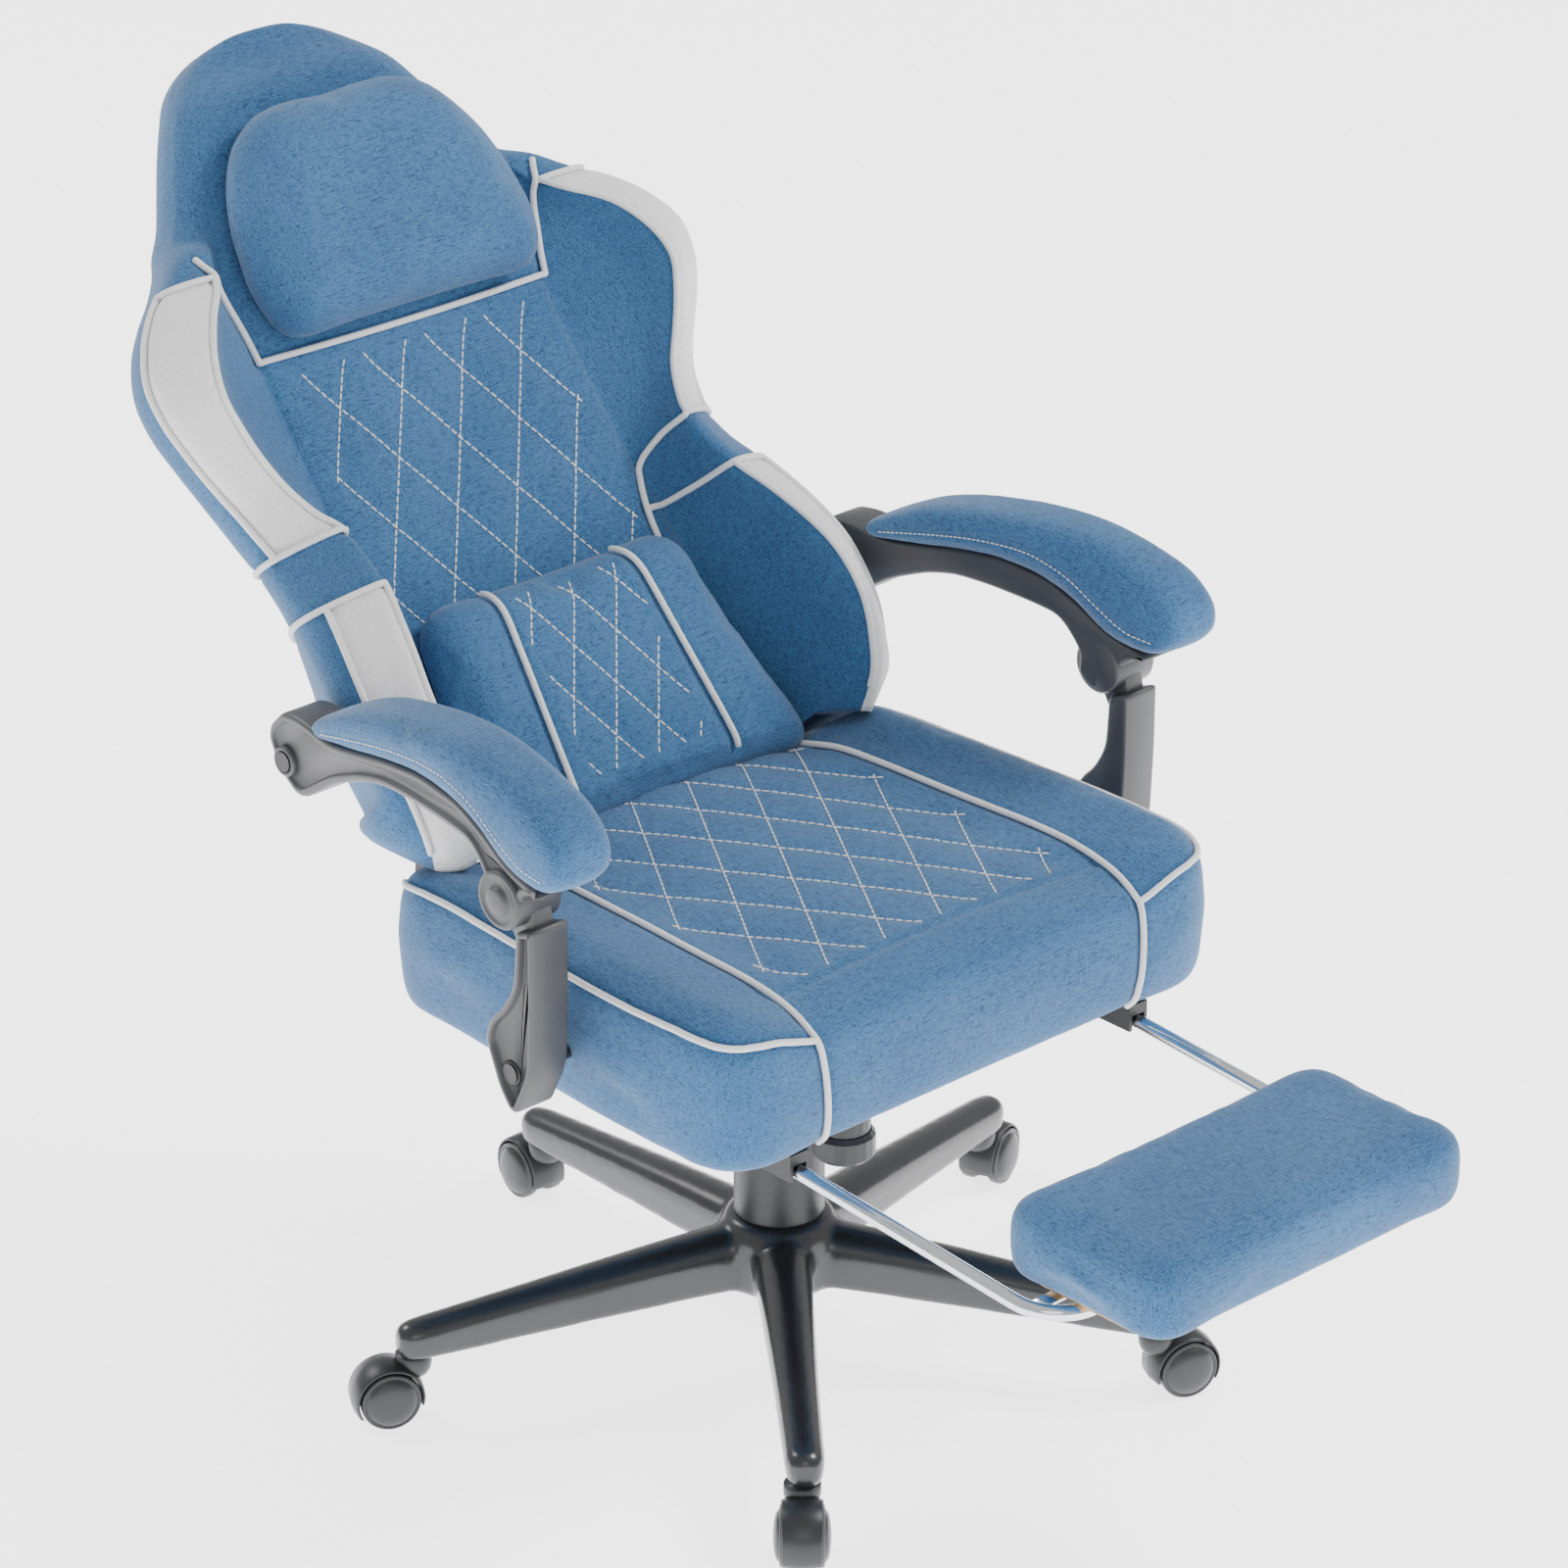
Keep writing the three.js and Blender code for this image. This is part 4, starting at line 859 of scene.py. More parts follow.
def bottom_rows():
    """The lower end: the core stops above the hinge and the bolsters run on down to their tips."""
    def row(core_v, core_w, inner, mid, outer, side, rear_side, rear):
        front = [(x, core_v, core_w) for x in (0, 81, 148)]
        return front + [(162, core_v - 4, core_w), *inner, mid, outer, side, rear_side, *rear]

    tip = row(
        -2, 40,
        [(176, 2, 88), (199, -14, 122)], (214, -17, 116), (226, -8, 100),
        (238, 20, 76), (228, 42, 40), [(190, 50, 2), (117, 51, -22), (0, 50, -24)],
    )
    low = row(
        0, 56,
        [(183, 4, 104), (207, 8, 146)], (226, 7, 140), (238, 10, 124),
        (247, 26, 92), (240, 46, 54), [(198, 54, 6), (117, 53, -29), (0, 52, -32)],
    )
    next_up = row(
        20, 60,
        [(188, 30, 112), (212, 34, 158)], (231, 33, 152), (243, 36, 134),
        (251, 40, 108), (246, 52, 72), [(204, 58, 12), (117, 58, -31), (0, 58, -34)],
    )
    return [tip, low, next_up]


CONTROL_STEPS = [18, 14, 4, 8, 8, 5, 5, 7, 6, 5, 6, 8]
INNER_EDGE, OUTER_EDGE = sum(CONTROL_STEPS[:5]), sum(CONTROL_STEPS[:7])
SIDE_EDGE = OUTER_EDGE + 4
ROW_STEPS = 6


def back_net():
    rows = bottom_rows() + [bolster_row(*r) for r in HIP_ROWS] + [head_row(*r) for r in HEAD_OUTLINE]
    top = np.array(head_row(684, 12.0))
    top[:, 2] = 26 + (top[:, 2] - 26) * 0.35
    rows.append(top.tolist())
    along = spline(np.array(rows, float), ROW_STEPS)
    return spline(along.transpose(1, 0, 2), CONTROL_STEPS).transpose(1, 0, 2)


def row_at(net, v):
    """The row of the net whose inner edge is nearest to a height."""
    return int(np.argmin(np.abs(net[:, INNER_EDGE, 1] - v)))


def mirror(points, side):
    return np.asarray(points, float) * [side, 1, 1]


def on_back(piece):
    """Back upholstery: it follows the back, and its lowest part settles with the seat."""
    start, end = from_back([0, -30, 60]) * MM, from_back([0, 120, 60]) * MM
    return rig.blend(piece, "seat", "back", start=start, end=end)


def add_back():
    half = back_net()
    left = half[:, -2:0:-1] * [-1, 1, 1]
    whole = np.concatenate([half, left], 1)
    count = whole.shape[1]
    band_low, band_high, trim_top = row_at(half, 208), row_at(half, 262), row_at(half, 486)

    def slot_of(row, column):
        outer = OUTER_EDGE if row < band_low else SIDE_EDGE
        on_right = INNER_EDGE <= column < outer
        on_left = count - outer <= column < count - INNER_EDGE
        white = row < band_low or band_high <= row < trim_top
        return 1 if (on_right or on_left) and white else 0

    # The quilted centre sinks along its stitch lines.
    x, v, w = whole[..., 0], whole[..., 1], whole[..., 2]
    mask = np.clip((128 - np.abs(x)) / 14, 0, 1) * np.clip((405 - v) / 14, 0, 1) * (w > 30)
    quilt = 3.0 * mask * (1 - diamonds(x, v, *BACK_DIAMOND))
    whole = whole - np.stack([np.zeros_like(w), np.zeros_like(w), quilt], -1)
    shell = ring_piece("back_upholstery", from_back(whole), [BACK_CLOTH, TRIM_CLOTH], slot_of)
    surface = surface_of(shell)
    inward = -OUT_BACK

    # A path along a column of the net, on one side, lifted off the cover.
    def lane(rows, column, side, lift=PIPING_LIFT):
        points = half[rows, column]
        centre = np.array([0, 0, 20]) + points * [0.6, 1, 0]
        out = points - centre
        out /= np.linalg.norm(out, axis=1)[:, None]
        return from_back(mirror(points + out * lift, side))

    pieces = {}
    for name, side in SIDES.items():
        hip = np.arange(4, band_low + 1)
        shoulder = np.arange(band_high, trim_top + 1)
        pieces["hip_piping_inner_" + name] = lane(hip, INNER_EDGE, side)
        pieces["hip_piping_outer_" + name] = lane(hip, OUTER_EDGE, side)
        pieces["shoulder_piping_inner_" + name] = lane(shoulder, INNER_EDGE, side)
        pieces["shoulder_piping_outer_" + name] = lane(shoulder, SIDE_EDGE, side)
        for label, row, start in (("low", band_low, 22), ("high", band_high, 0), ("top", trim_top, 0)):
            points = half[row, np.arange(INNER_EDGE - start, SIDE_EDGE + (14 if label != "top" else 1))]
            pieces[f"band_piping_{label}_{name}"] = from_back(mirror(raised(points, PIPING_LIFT), side))
        waist = [(176, 261), (166, 257), (152, 244), (143, 226), (138, 204), (136, 180)]
        sweep = [(side * x, v, BEFORE) for x, v in waist]
        pieces["waist_piping_" + name] = drape(from_back(spline(sweep, 8)), inward, surface, PIPING_LIFT)
    for name, side in SIDES.items():
        edge = [(147, 417), (150, 435), (156, 460), (163, 486), (172, 506)]
        rise = [(side * x, v, BEFORE) for x, v in edge]
        pieces["head_piping_" + name] = drape(from_back(spline(rise, 8)), inward, surface, PIPING_LIFT)
    flat = [(x, 417 - 3 * math.cos(x / 147 * math.pi / 2), BEFORE) for x in np.linspace(-147, 147, 60)]
    pieces["head_piping_cross"] = drape(from_back(flat), inward, surface, PIPING_LIFT)
    for path in pieces.values():
        press_seam(shell, path, depth=2.0, width=5.0)
    on_back(shell)
    wings = [f"{part}_wing_{name}" for part in ("hip", "shoulder") for name in SIDES]
    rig.replaces(shell, "back_core", *wings)
    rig.padded(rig.slot(shell, "blue_fabric"), fill=0.85)
    for name, path in pieces.items():
        on_back(tube(name, spline(evenly(path, 9.0), 3), BACK_PIPING_R, PIPING_CLOTH))

    inside = lambda s, t: (np.abs(s) < 127) & (t > 60) & (t < 404)
    runs = diamond_lines(inside, *BACK_DIAMOND, reach=420)
    draped = [drape(from_back([(s, t, BEFORE) for s, t in run]), inward, surface, 0.2) for run in runs]
    on_back(stitches("back_quilting", [d for d in draped if len(d) > 4], THREAD))


def raised(points, lift):
    """Points on half a back ring moved out from the ring's middle."""
    centre = np.column_stack([points[:, 0] * 0.7, points[:, 1], np.full(len(points), 20.0)])
    out = points - centre
    return points + out / np.linalg.norm(out, axis=1)[:, None] * lift


# ---------- pillows ----------
def pillow_rings(outline, levels, place):
    """Rings of an outline in (x, v), inset by depth at each height w."""
    rings = [place(np.column_stack([inset(outline, depth), np.full(len(outline), w)])) for w, depth in levels]
    return rings


def add_head_pillow():
    corners = both_sides([(128, 420, 40), (141, 468, 60), (128, 545, 60), (84, 606, 60)])
    outline = closed_evenly(rounded_outline(corners), 110)
    levels = [(64, 20), (65, 10), (71, 3), (82, -1), (94, 0), (106, 7), (114, 17), (119, 30), (121, 44)]
    pillow = ring_piece("head_pillow_cover", pillow_rings(outline, levels, from_back), [BACK_CLOTH])
    plump(pillow, voxel=5.0, most=3.5)
    refine(pillow)
    seam = from_back(np.column_stack([inset(outline, -2), np.full(len(outline), 84)]))
    press_seam(pillow, np.concatenate([seam, seam[:1]]), depth=2.2, width=3.5)
    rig.padded(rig.slot(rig.replaces(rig.ride(pillow, "back"), "head_pillow"), "blue_fabric"), fill=0.8)


def add_lumbar_pillow():
    corners = both_sides([(176, -16, 30), (150, 96, 70), (133, 188, 34)])
    outline = closed_evenly(rounded_outline(corners), 120)
    rings = []
    for w, depth in [(64, 14), (65, 7), (71, 1), (80, -2), (90, 1), (98, 8), (102, 18), (104, 30)]:
        edge = inset(outline, depth)
        lean = np.clip((60 - edge[:, 1]) / 60, 0, 1) * (w - 64) * 0.25
        rings.append(from_back(np.column_stack([edge[:, 0], edge[:, 1] - lean, np.full(len(edge), w)])))
    pillow = ring_piece("lumbar_pillow_cover", rings, [BACK_CLOTH])
    plump(pillow, voxel=5.0, most=7.0)
    refine(pillow)
    surface = surface_of(pillow)
    inward = -OUT_BACK
    pipings = {}
    for name, side in SIDES.items():
        line = [(side * x, v, BEFORE) for x, v in ((66, 190), (70, 160), (75, 100), (80, 40), (83, -2))]
        pipings["lumbar_piping_" + name] = drape(from_back(spline(line, 10)), inward, surface, PIPING_LIFT)
        press_seam(pillow, pipings["lumbar_piping_" + name], depth=3.5, width=7.0)
    mesh = pillow.data
    co, normal = coordinates(mesh), normals(mesh)
    local = into_back(co)
    mask = np.clip((62 - np.abs(local[:, 0])) / 8, 0, 1) * lump(local[:, 1], 14, 172, 14)
    mask = mask * (normal @ OUT_BACK > 0.4)
    sunk = 2.6 * mask * (1 - diamonds(local[:, 0], local[:, 1], *LUMBAR_DIAMOND))
    set_coordinates(mesh, co - normal * sunk[:, None])
    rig.padded(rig.slot(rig.replaces(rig.ride(pillow, "lumbar"), "lumbar_pillow"), "blue_fabric"), fill=0.85)
    for name, path in pipings.items():
        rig.ride(tube(name, path, PIPING_R, PIPING_CLOTH), "lumbar")
    surface = surface_of(pillow)
    inside = lambda s, t: (np.abs(s) < 60) & (t > 12) & (t < 172)
    runs = diamond_lines(inside, *LUMBAR_DIAMOND, reach=200)
    draped = [drape(from_back([(s, t, BEFORE) for s, t in run]), inward, surface, 0.3) for run in runs]
    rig.ride(stitches("lumbar_quilting", [d for d in draped if len(d) > 4], THREAD), "lumbar")


# ---------- the footrest ----------
def add_footrest():
    low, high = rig.box("footrest_pad")
    x1, y0, y1 = high.x / MM, low.y / MM, high.y / MM
    z0, z1 = low.z / MM - 5, high.z / MM + 2
    corners = both_sides([(x1, y0, 36), (x1, y1, 36)])
    outline = closed_evenly(rounded_outline(corners), 110)
    levels = [(z0 + 1, 12), (z0 + 2, 6), (z0 + 8, 1), (z0 + 20, -1)]
    levels += [(z1 - 22, -1), (z1 - 10, 1), (z1 - 4, 7), (z1, 18)]
    rings = [np.column_stack([inset(outline, depth), np.full(len(outline), z)]) for z, depth in levels]
    middle_y = (y0 + y1) / 2
    for scale in (0.7, 0.35, 0.04):
        edge = (inset(outline, 18) - [0, middle_y]) * scale + [0, middle_y]
        rings.append(np.column_stack([edge, np.full(len(edge), z1 + 4 * (1 - scale))]))
    pad = ring_piece("footrest_pad_cover", rings, [SEAT_CLOTH])
    plump(pad, voxel=4.5, most=4.0)
    refine(pad)
    seam = np.column_stack([outline, np.full(len(outline), z1 - 9.0)])
    press_seam(pad, np.concatenate([seam, seam[:1]]), depth=2.2, width=3.0)
    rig.padded(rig.slot(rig.replaces(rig.ride(pad, "footrest_pad"), "footrest_pad"), "blue_fabric"), fill=0.9)

    frame_low, frame_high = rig.box("footrest_frame")
    rod = 6.0
    x = frame_high.x / MM - rod
    rear, front = frame_high.y / MM, frame_low.y / MM + rod
    z_rear = frame_high.z / MM - rod
    z_front = frame_low.z / MM + rod
    bend_y = SWIVEL_Y - 215
    corner = 40.0
    right = [(x, rear, z_rear), (x, bend_y, z_rear)]
    slope = (z_rear - z_front) / (bend_y - front)
    turn = np.linspace(0, math.pi / 2, 14)
    arc = [(x - corner * (1 - math.cos(a)), front + corner * (1 - math.sin(a))) for a in turn]
    arc = [(px, py, z_front + slope * (py - front)) for px, py in arc]
    left = [(-px, py, pz) for px, py, pz in reversed(right + arc)]
    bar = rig.slot(tube("footrest_bar", right + arc + left, rod, CHROME, sides=24, spacing=3.5), "chrome")
    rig.replaces(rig.ride(bar, "footrest"), "footrest_frame")
    strap_y = front + 26.5
    strap_z = z_front + slope * 26.5
    section = rounded_outline([(-6.5, -1.5, 1), (6.5, -1.5, 1), (6.5, 1.5, 1), (-6.5, 1.5, 1)], 4)
    across = np.linspace(-x + 2, x - 2, 12)
    rings = [[(px, strap_y + a, strap_z + b) for a, b in section] for px in across]
    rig.ride(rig.slot(ring_piece("footrest_strap", rings, [CHROME]), "chrome"), "footrest")


# ---------- armrests ----------
# The pad's underside and top, station by station from nose to tail, as (y, z) from the swivel.
PAD_STATIONS = [
    ((-124, 553), (-139, 572)),
    ((-112, 547), (-134, 592)),
    ((-91, 546), (-112, 611)),
    ((-72, 549), (-82, 621)),
    ((-58, 555), (-58, 626)),
    ((-39, 566), (-32, 629)),
    ((-14, 577), (-5, 629)),
    ((15, 583), (22, 627)),
    ((46, 585), (52, 623)),
    ((90, 580), (98, 614)),
    ((125, 574), (132, 604)),
    ((150, 570), (158, 592)),
    ((166, 567), (178, 581)),
    ((172, 566), (186, 573)),
]
PAD_HALF = 31.0
PAD_STITCH_LINE = [
    (-118, 562), (-91, 566), (-65, 579), (-38, 594), (-12, 601), (14, 603), (67, 598), (121, 587), (162, 577),
]


def arm_x(y):
    """The middle of an armrest at a distance y from the swivel axis."""
    return ELBOW[0] - ARM_TOE * (y + SWIVEL_Y - ELBOW[1])


def pad_section(under, over, share):
    """A domed section between an underside and a top point; share narrows it at the ends."""
    (y0, z0), (y1, z1) = under, over
    points = []
    for t in np.linspace(0, 2 * math.pi, 40, endpoint=False):
        c, s = math.cos(t), math.sin(t)
        across = math.copysign(abs(c) ** 0.6, c) * PAD_HALF * share
        rise = 0.5 + 0.5 * math.copysign(abs(s) ** 0.55, s)
        y, z = y0 + (y1 - y0) * rise, z0 + (z1 - z0) * rise
        points.append((arm_x(y) + across, y, z))
    return points


def add_arm_pads():
    shares = [0.8, 0.94, 1, 1, 1, 1, 1, 1, 1, 1, 0.99, 0.97, 0.9, 0.78]
    sections = np.array([pad_section(u, o, s) for (u, o), s in zip(PAD_STATIONS, shares)])
    ends = []
    for section, next_in, shrink in ((sections[0], sections[1], 0.45), (sections[-1], sections[-2], 0.45)):
        centre = section.mean(0)
        out = centre - next_in.mean(0)
        out /= np.linalg.norm(out)
        ends.append(centre + (section - centre) * shrink + out * 4)
    rings = spline(np.concatenate([[ends[0]], sections, [ends[1]]]), 5)
    for name, side in SIDES.items():
        pad = ring_piece("arm_pad_cover_" + name, from_swivel(rings * [side, 1, 1]), [SEAT_CLOTH])
        plump(pad, voxel=4.0, most=2.5, pressure=3.0)
        refine(pad)
        surface = surface_of(pad)
        runs = []
        for face in (1, -1):
            path = spline([(side * (arm_x(y) + face * 60), y, z) for y, z in PAD_STITCH_LINE], 14)
            along = drape(from_swivel(path), (-side * face, 0, 0), surface, 0.3)
            press_seam(pad, along, depth=1.2, width=2.5)
            runs.append(along)
        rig.replaces(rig.ride(pad, "arm_" + name), "arm_pad_" + name)
        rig.padded(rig.slot(pad, "blue_fabric"), fill=0.9)
        seam = stitches("arm_stitching_" + name, runs, THREAD, radius=0.55, length=3.6, gap=1.2)
        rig.ride(seam, "arm_" + name)


def arm_slab(name, outline, x_low, x_high, side, edge=3.0, rim=None, floor=0.0):
    """A plate in the (y, z) plane with rounded edges; with rim, its outer face is hollowed."""
    levels = [(x_low, edge), (x_low + edge * 0.3, edge * 0.3), (x_low + edge, 0)]
    levels += [(x_high - edge, 0), (x_high - edge * 0.3, edge * 0.3), (x_high, edge)]
    if rim:
        levels += [(x_high, rim), (x_high - 1, rim + 0.8)]
        levels += [(x_high - floor + 1, rim + 1.2), (x_high - floor, rim + 2.2)]
    rings = []
    for x, depth in levels:
        edge_line = inset(outline, depth)
        ring = [(side * (x - ARM_TOE * y * ARM_FOLLOW[name.split("_")[1]]), y, z) for y, z in edge_line]
        rings.append(ring)
    return rings


ARM_FOLLOW = {"beam": 1.0, "upright": 0.0}


def beam_outline():
    """The beam's side view about the elbow."""
    span = 279.0
    under = [(303, 19), (294, 3), (284, -7), (268, -16), (256, -15), (238, -3), (215, 12)]
    under += [(177, 28), (147, 35), (111, 36), (67, 34), (40, 31), (26, 18)]
    nose = [(16, 4), (20, -10), (8, -21), (-8, -21), (-21, -8), (-22, 8), (-30, 14), (-52, 18)]
    top = [(-40, 23.4), (-7, 29.5), (17, 43.5), (52, 58.5), (102, 62.5), (146, 57.5), (198, 47.5), (222, 44)]
    tail = [(span - 18, 50), (span + 4, 47), (span + 14, 38), (span + 22, 30)]
    return closed_evenly(rounded_outline([(a, b, 12) for a, b in under + nose + top + tail], 5), 190)


def upright_outline():
    """The upright's side view about its foot."""
    corners = [
        (-31, 128, 4), (-31, 74, 20), (-28, 8, 14), (-10, -29, 6), (-2, -29, 4), (10, -14, 8), (25, 22, 12),
        (19, 40, 10), (4, 54, 12), (-9, 76, 20), (-12, 121, 3),
    ]
    return closed_evenly(rounded_outline(corners, 6), 120)


def disc_rings(centre, side, profile, sides=48):
    """Rings about an axis along X, for [radius, x] pairs."""
    turn = np.linspace(0, 2 * math.pi, sides, endpoint=False)
    y, z = centre
    return [[(side * x, y + r * math.cos(a), z + r * math.sin(a)) for a in turn] for r, x in profile]


def add_arms():
    half = 20.0
    x = ELBOW[0]
    for name, side in SIDES.items():
        body = "arm_" + name
        rings = np.array(arm_slab("arm_beam", beam_outline(), x - half, x + half, side, 3.5, 6.0, 2.5))
        beam = ring_piece("arm_beam_shell_" + name, rings + [0, ELBOW[1], ELBOW[2]], [ARM_PLASTIC])
        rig.replaces(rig.slot(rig.ride(beam, body), "arm_plastic"), "arm_beam_" + name)
        face = x + half
        lug = [(21, x - half), (23, x - half + 2), (23, face + 1), (21.5, face + 3), (19, face + 3.4)]
        lug += [(18, face + 2.4), (11.5, face + 2.4), (11, face + 3), (10.4, face + 5), (8.5, face + 6)]
        lug += [(3, face + 6.3)]
        hub = ring_piece("arm_elbow_disc_" + name, disc_rings(ELBOW[1:], side, lug), [ARM_PLASTIC])
        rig.replaces(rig.slot(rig.ride(hub, body), "arm_plastic"), "arm_elbow_pin_" + name)

        rings = np.array(arm_slab("arm_upright", upright_outline(), x - 18, x + 18, side, 3.0, 4.5, 6.0))
        shell = ring_piece("arm_upright_body_" + name, rings + [0, FOOT[1], FOOT[2]], [ARM_PLASTIC])
        neck = [(-30, 96, 0), (-12, 96, 0), (8, 128, 0), (20, 140, 8)]
        neck += [(16, 160, 10), (-10, 164, 10), (-22, 140, 6)]
        neck = closed_evenly(rounded_outline(neck, 6), 70)
        rings = np.array(arm_slab("arm_upright", neck, x - 9.5, x + 9.5, side, 1.5))
        tongue = ring_piece("arm_upright_tongue_" + name, rings + [0, FOOT[1], FOOT[2]], [ARM_PLASTIC])
        upright = join_pieces("arm_upright_shell_" + name, [shell, tongue], ARM_PLASTIC)
        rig.replaces(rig.slot(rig.ride(upright, "arm_upright_" + name), "arm_plastic"), "arm_upright_" + name)
        button = [(10, x + 8), (10, x + 12.6), (9.4, x + 13.6), (8, x + 14.2), (7.4, x + 13.6), (3, x + 13.4)]
        bolt = ring_piece("arm_foot_button_" + name, disc_rings(FOOT[1:], side, button), [BLACK_PLASTIC])
        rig.ride(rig.slot(bolt, "black_plastic"), "arm_upright_" + name)

        # The rear bolt is the fourth corner of the parallelogram of foot, elbow and back hinge.
        rear = ELBOW - FOOT + HINGE * [0, 1, 1]
        rear_x = arm_x(rear[1] - SWIVEL_Y) + half
        profile = [(12, rear_x - 6), (12, rear_x + 1.5), (11, rear_x + 2.6), (9, rear_x + 2.8)]
        profile += [(8.4, rear_x + 0.6), (3, rear_x + 0.4)]
        ring = ring_piece("arm_rear_socket_" + name, disc_rings(rear[1:], side, profile), [ARM_PLASTIC])
        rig.ride(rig.slot(ring, "arm_plastic"), body)


# ---------- base and castors ----------
LEG_MIDDLES = [middle(f"base_leg_{i}") for i in range(1, 6)]
LEG_ANGLES = [math.atan2(y - SWIVEL_Y, x) for x, y, _ in LEG_MIDDLES]


def leg_rings():
    """One leg along +X, from inside the hub out to its rounded tip."""
    rings = []
    stations = [(20, 50, 118, 52), (60, 45, 115, 49), (130, 40, 108, 44), (210, 35, 99, 38)]
    stations += [(290, 32, 90, 32), (305, 31, 88, 30), (314, 26, 86, 28), (320, 14, 81, 20)]
    for x, width, top, depth in stations:
        half = width / 2
        ring = []
        for t in np.linspace(-0.16, math.pi + 0.16, 17):
            ring.append((x, half * math.cos(t), top - half * 0.8 + half * 0.8 * math.sin(t)))
        ring += [(x, -half * 0.9, top - depth + 3), (x, -half * 0.72, top - depth)]
        ring += [(x, half * 0.72, top - depth), (x, half * 0.9, top - depth + 3)]
        rings.append(ring)
    return spline(np.array(rings), 6)


def join_pieces(name, parts, material):
    """Several closed meshes as one object."""
    vertices, faces, base = [], [], 0
    for part in parts:
        vertices.append(coordinates(part.data))
        faces += [tuple(base + v for v in p.vertices) for p in part.data.polygons]
        base += len(part.data.vertices)
        bpy.data.objects.remove(part)
    return mesh_piece(name, np.concatenate(vertices), faces, [material])


def turned_about_z(p, cos, sin):
    """Points turned about Z by an angle given as its cosine and sine."""
    x, y = p[..., 0], p[..., 1]
    return np.stack([x * cos - y * sin, x * sin + y * cos, p[..., 2]], -1)


def add_base():
    parts = []
    rings = leg_rings()
    for i, angle in enumerate(LEG_ANGLES):
        turned = turned_about_z(rings, math.cos(angle), math.sin(angle))
        parts.append(ring_piece(f"leg_{i}", from_swivel(turned), [BASE_PAINT]))
    hub = [(4, 64), (44, 64), (49, 70), (50, 96), (48, 112), (43, 120), (39, 124), (4, 124.5)]
    parts.append(ring_piece("hub", from_swivel(lathe_rings(hub)), [BASE_PAINT]))
    star = join_pieces("base_star", parts, BASE_PAINT)
    smooth = 10 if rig.quick() else 14
    remesh = ("REMESH", {"mode": "VOXEL", "voxel_size": 2.6 * MM})
    replace_mesh(star, [remesh, ("SMOOTH", {"factor": 0.5, "iterations": smooth})])
    nodes = ["base_hub"] + [f"base_leg_{i}" for i in range(1, 6)]
    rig.replaces(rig.slot(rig.ride(star, "base"), "base_paint"), *nodes)

    lower = [(25.5, 124), (35.5, 124), (36, 126), (36, 221), (34.8, 223.6), (33.4, 223.6), (33.2, 215)]
    upper = [(31, 132), (32.3, 132), (32.3, 250), (31, 254), (20, 255), (14.6, 255)]
    for name, profile, body in (("lift_cover_lower", lower, "base"), ("lift_cover_upper", upper, "lift")):
        cover = ring_piece(name + "_shell", from_swivel(lathe_rings(profile)), [BLACK_PLASTIC])
        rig.replaces(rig.slot(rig.ride(cover, body), "black_plastic"), name)


def castor_pieces(number):
    """The hood and the two wheels of a castor, in place."""
    swivel = np.array(joints[f"castor_{number}_swivel"]["pos_m"]) / MM
    axle = np.array(joints[f"castor_{number}_roll"]["pos_m"]) / MM
    heading = (axle - swivel)[:2]
    trail = np.linalg.norm(heading)
    cos, sin = heading / trail

    def place(points):
        return turned_about_z(np.asarray(points, float), cos, sin) + [swivel[0], swivel[1], 0]

    turn = np.linspace(0, 2 * math.pi, 56, endpoint=False)
    wheel_z = axle[2]
    wheels = []
    half = [(3, 7), (20, 7), (22.6, 7.4), (23.8, 9), (24, 11.5), (24, 15.4), (23.2, 16.8), (21.8, 17.2)]
    half += [(21.2, 16.6), (20.4, 16.6), (19.6, 18), (16.5, 20), (11, 21.3), (5, 21.9), (0.6, 22)]
    for side in (1, -1):
        rings = []
        for r, h in half:
            rings.append([(trail + r * math.cos(a), side * h, wheel_z + r * math.sin(a)) for a in turn])
        wheels.append(ring_piece("wheel", place(rings), [CASTOR_PLASTIC]))
    pair = join_pieces(f"castor_wheel_pair_{number}", wheels, CASTOR_PLASTIC)

    # The hood covers the wheels' top and trailing side.
    rings = []
    for t in np.linspace(math.radians(-28), math.radians(196), 30):
        rise = math.cos(t - math.radians(84))
        out = 26.6
        width = 15.6 + 0.6 * max(0, rise)
        centre = (trail + math.cos(t) * 1.0, wheel_z + math.sin(t) * 1.0)
        ring = []
        profile = [(out - 1.2, -width), (out, -width + 1.6), (out + 1.5, 0), (out, width - 1.6)]
        profile += [(out - 1.2, width), (out - 2.2, width - 0.4), (out - 2.2, -width + 0.4)]
        for r, across in profile:
            ring.append((centre[0] + r * math.cos(t), across, centre[1] + r * math.sin(t)))
        rings.append(ring)
    fender = ring_piece("fender", place(rings), [CASTOR_PLASTIC])
    web_line = [(trail + 22 * math.cos(a), wheel_z + 22 * math.sin(a)) for a in np.linspace(-0.5, 3.6, 30)]
    web = np.array(web_line)
    web_levels = [(-6.2, 0.5), (-5.6, 0), (5.6, 0), (6.2, 0.5)]
    rings = [[(a, x, b) for a, b in inset(web, depth)] for x, depth in web_levels]
    plate = ring_piece("web", place(rings), [CASTOR_PLASTIC])
    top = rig.box(f"base_leg_{number}")[0].z / MM - 0.3
    collar = [(2, 40), (11, 40), (13.4, 44), (14.4, top - 9), (14.4, top - 1.4), (13.4, top - 0.2)]
    collar += [(5.5, top), (5.5, top + 8), (2, top + 9)]
    stem = ring_piece("stem", place(lathe_rings(collar, 40)), [CASTOR_PLASTIC])
    hood = join_pieces(f"castor_hood_shell_{number}", [fender, plate, stem], CASTOR_PLASTIC)
    return hood, pair


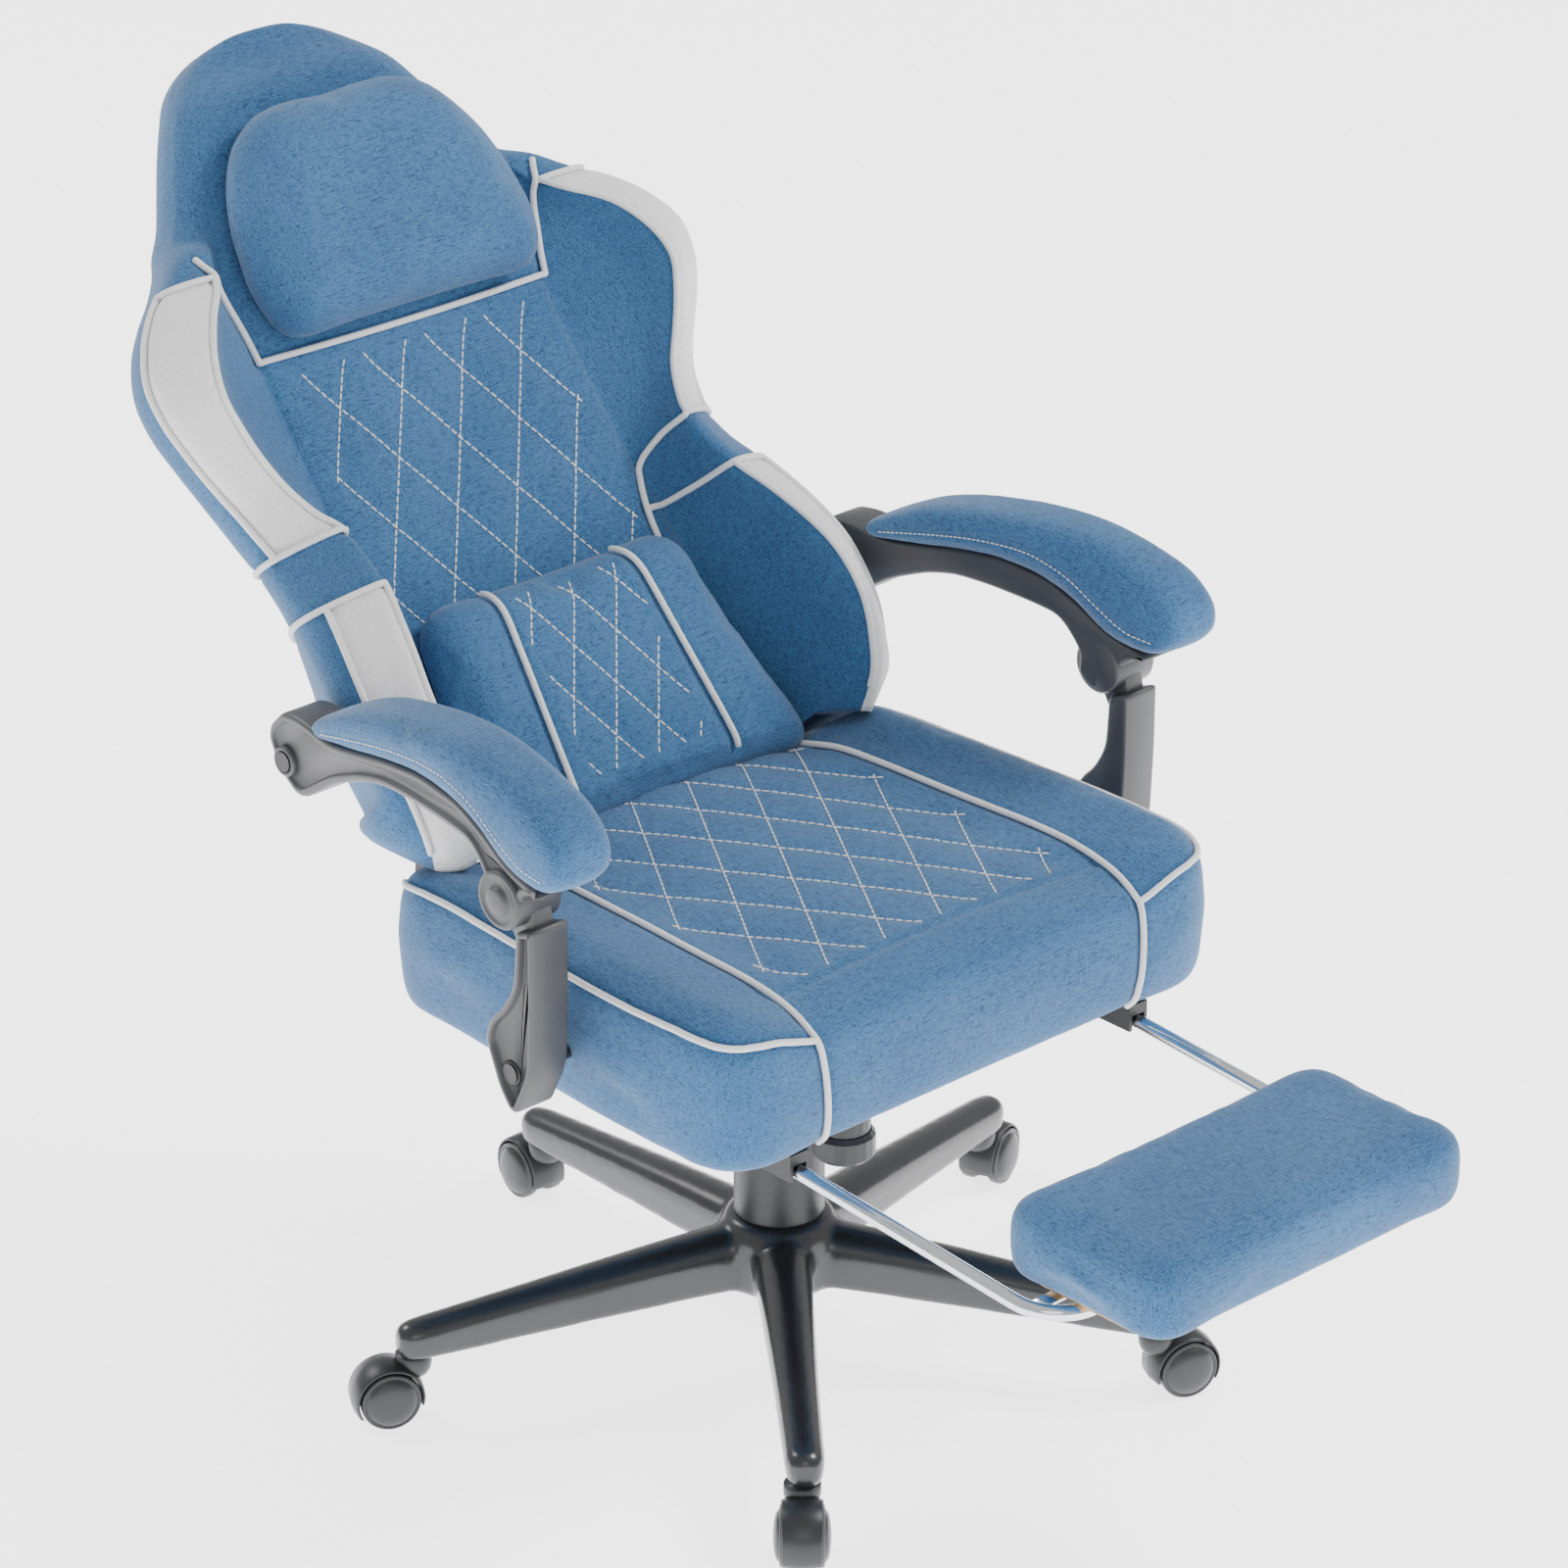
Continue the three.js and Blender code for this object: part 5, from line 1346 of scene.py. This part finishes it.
def add_castors():
    for number in range(1, 6):
        hood, pair = castor_pieces(number)
        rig.replaces(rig.slot(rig.ride(hood, f"castor_{number}"), "castor_plastic"), f"castor_hood_{number}")
        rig.replaces(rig.slot(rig.ride(pair, f"wheels_{number}"), "castor_plastic"), f"castor_wheels_{number}")


# ---------- the CAD parts that show as they are ----------
def finish_cad_parts():
    by_slot = {
        "black_plastic": BLACK_PLASTIC, "black_metal": BLACK_METAL, "steel": STEEL, "chrome": CHROME,
        "plywood": PLYWOOD, "arm_plastic": ARM_PLASTIC, "base_paint": BASE_PAINT,
        "castor_plastic": CASTOR_PLASTIC, "blue_fabric": SEAT_CLOTH,
    }
    slots = {s["node"]: s["material_slot"] for s in frame["record"]["subparts"]}
    for name, node in frame["nodes"].items():
        node.data.materials.clear()
        node.data.materials.append(by_slot[slots[name]])
        if node.hide_render:
            continue
        bevel = node.modifiers.new("soft_edges", "BEVEL")
        bevel.width = 0.0008
        bevel.segments = 2
        bevel.limit_method = "ANGLE"
        bevel.angle_limit = math.radians(40)


# ---------- the studio ----------
def add_studio():
    size = 9000.0
    corners = [(-size, -size, 0), (size, -size, 0), (size, size, 0), (-size, size, 0)]
    floor = mesh_piece("floor", corners, [(0, 1, 2, 3)], [])
    paint = Shader("floor_paint")
    tone = paint.noise((0.8, 0.8, 0.8), detail=2)
    paint.join(paint.mix(tone, srgb(243, 243, 243), srgb(247, 247, 247)), paint.surface.inputs["Base Color"])
    paint.set(Roughness=0.6, Emission_Color=(1, 1, 1, 1), Emission_Strength=2.6)
    floor.data.materials.append(paint.material)
    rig.stage(floor)
    world = bpy.data.worlds.new("studio")
    world.use_nodes = True
    sky = world.node_tree.nodes["Background"]
    sky.inputs["Color"].default_value = (1, 1, 1, 1)
    sky.inputs["Strength"].default_value = 0.8
    scene.world = world
    lights = [
        ("key", (2500, -1700, 3600), 1.5, 130),
        ("fill", (-2600, -3000, 2300), 2.4, 22),
        ("rim", (-900, 3000, 3200), 1.6, 60),
    ]
    for name, place, width, power in lights:
        data = bpy.data.lights.new(name, "AREA")
        data.shape = "DISK"
        data.size = width
        data.energy = power
        light = bpy.data.objects.new(name, data)
        light.location = Vector(place) * MM
        light.rotation_euler = (Vector((0, 0, 0.5)) - light.location).to_track_quat("-Z", "Y").to_euler()
        scene.collection.objects.link(light)


def write_sizes():
    boxes = {"cad": cad_box, "visual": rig.bounds()}
    plain = {name: [list(low), list(high)] for name, (low, high) in boxes.items()}
    with open("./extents.json", "w") as out:
        json.dump(plain, out)


add_camera()
add_seat()
add_back()
add_head_pillow()
add_lumbar_pillow()
add_footrest()
add_arm_pads()
add_arms()
add_base()
add_castors()
finish_cad_parts()
add_studio()
write_sizes()
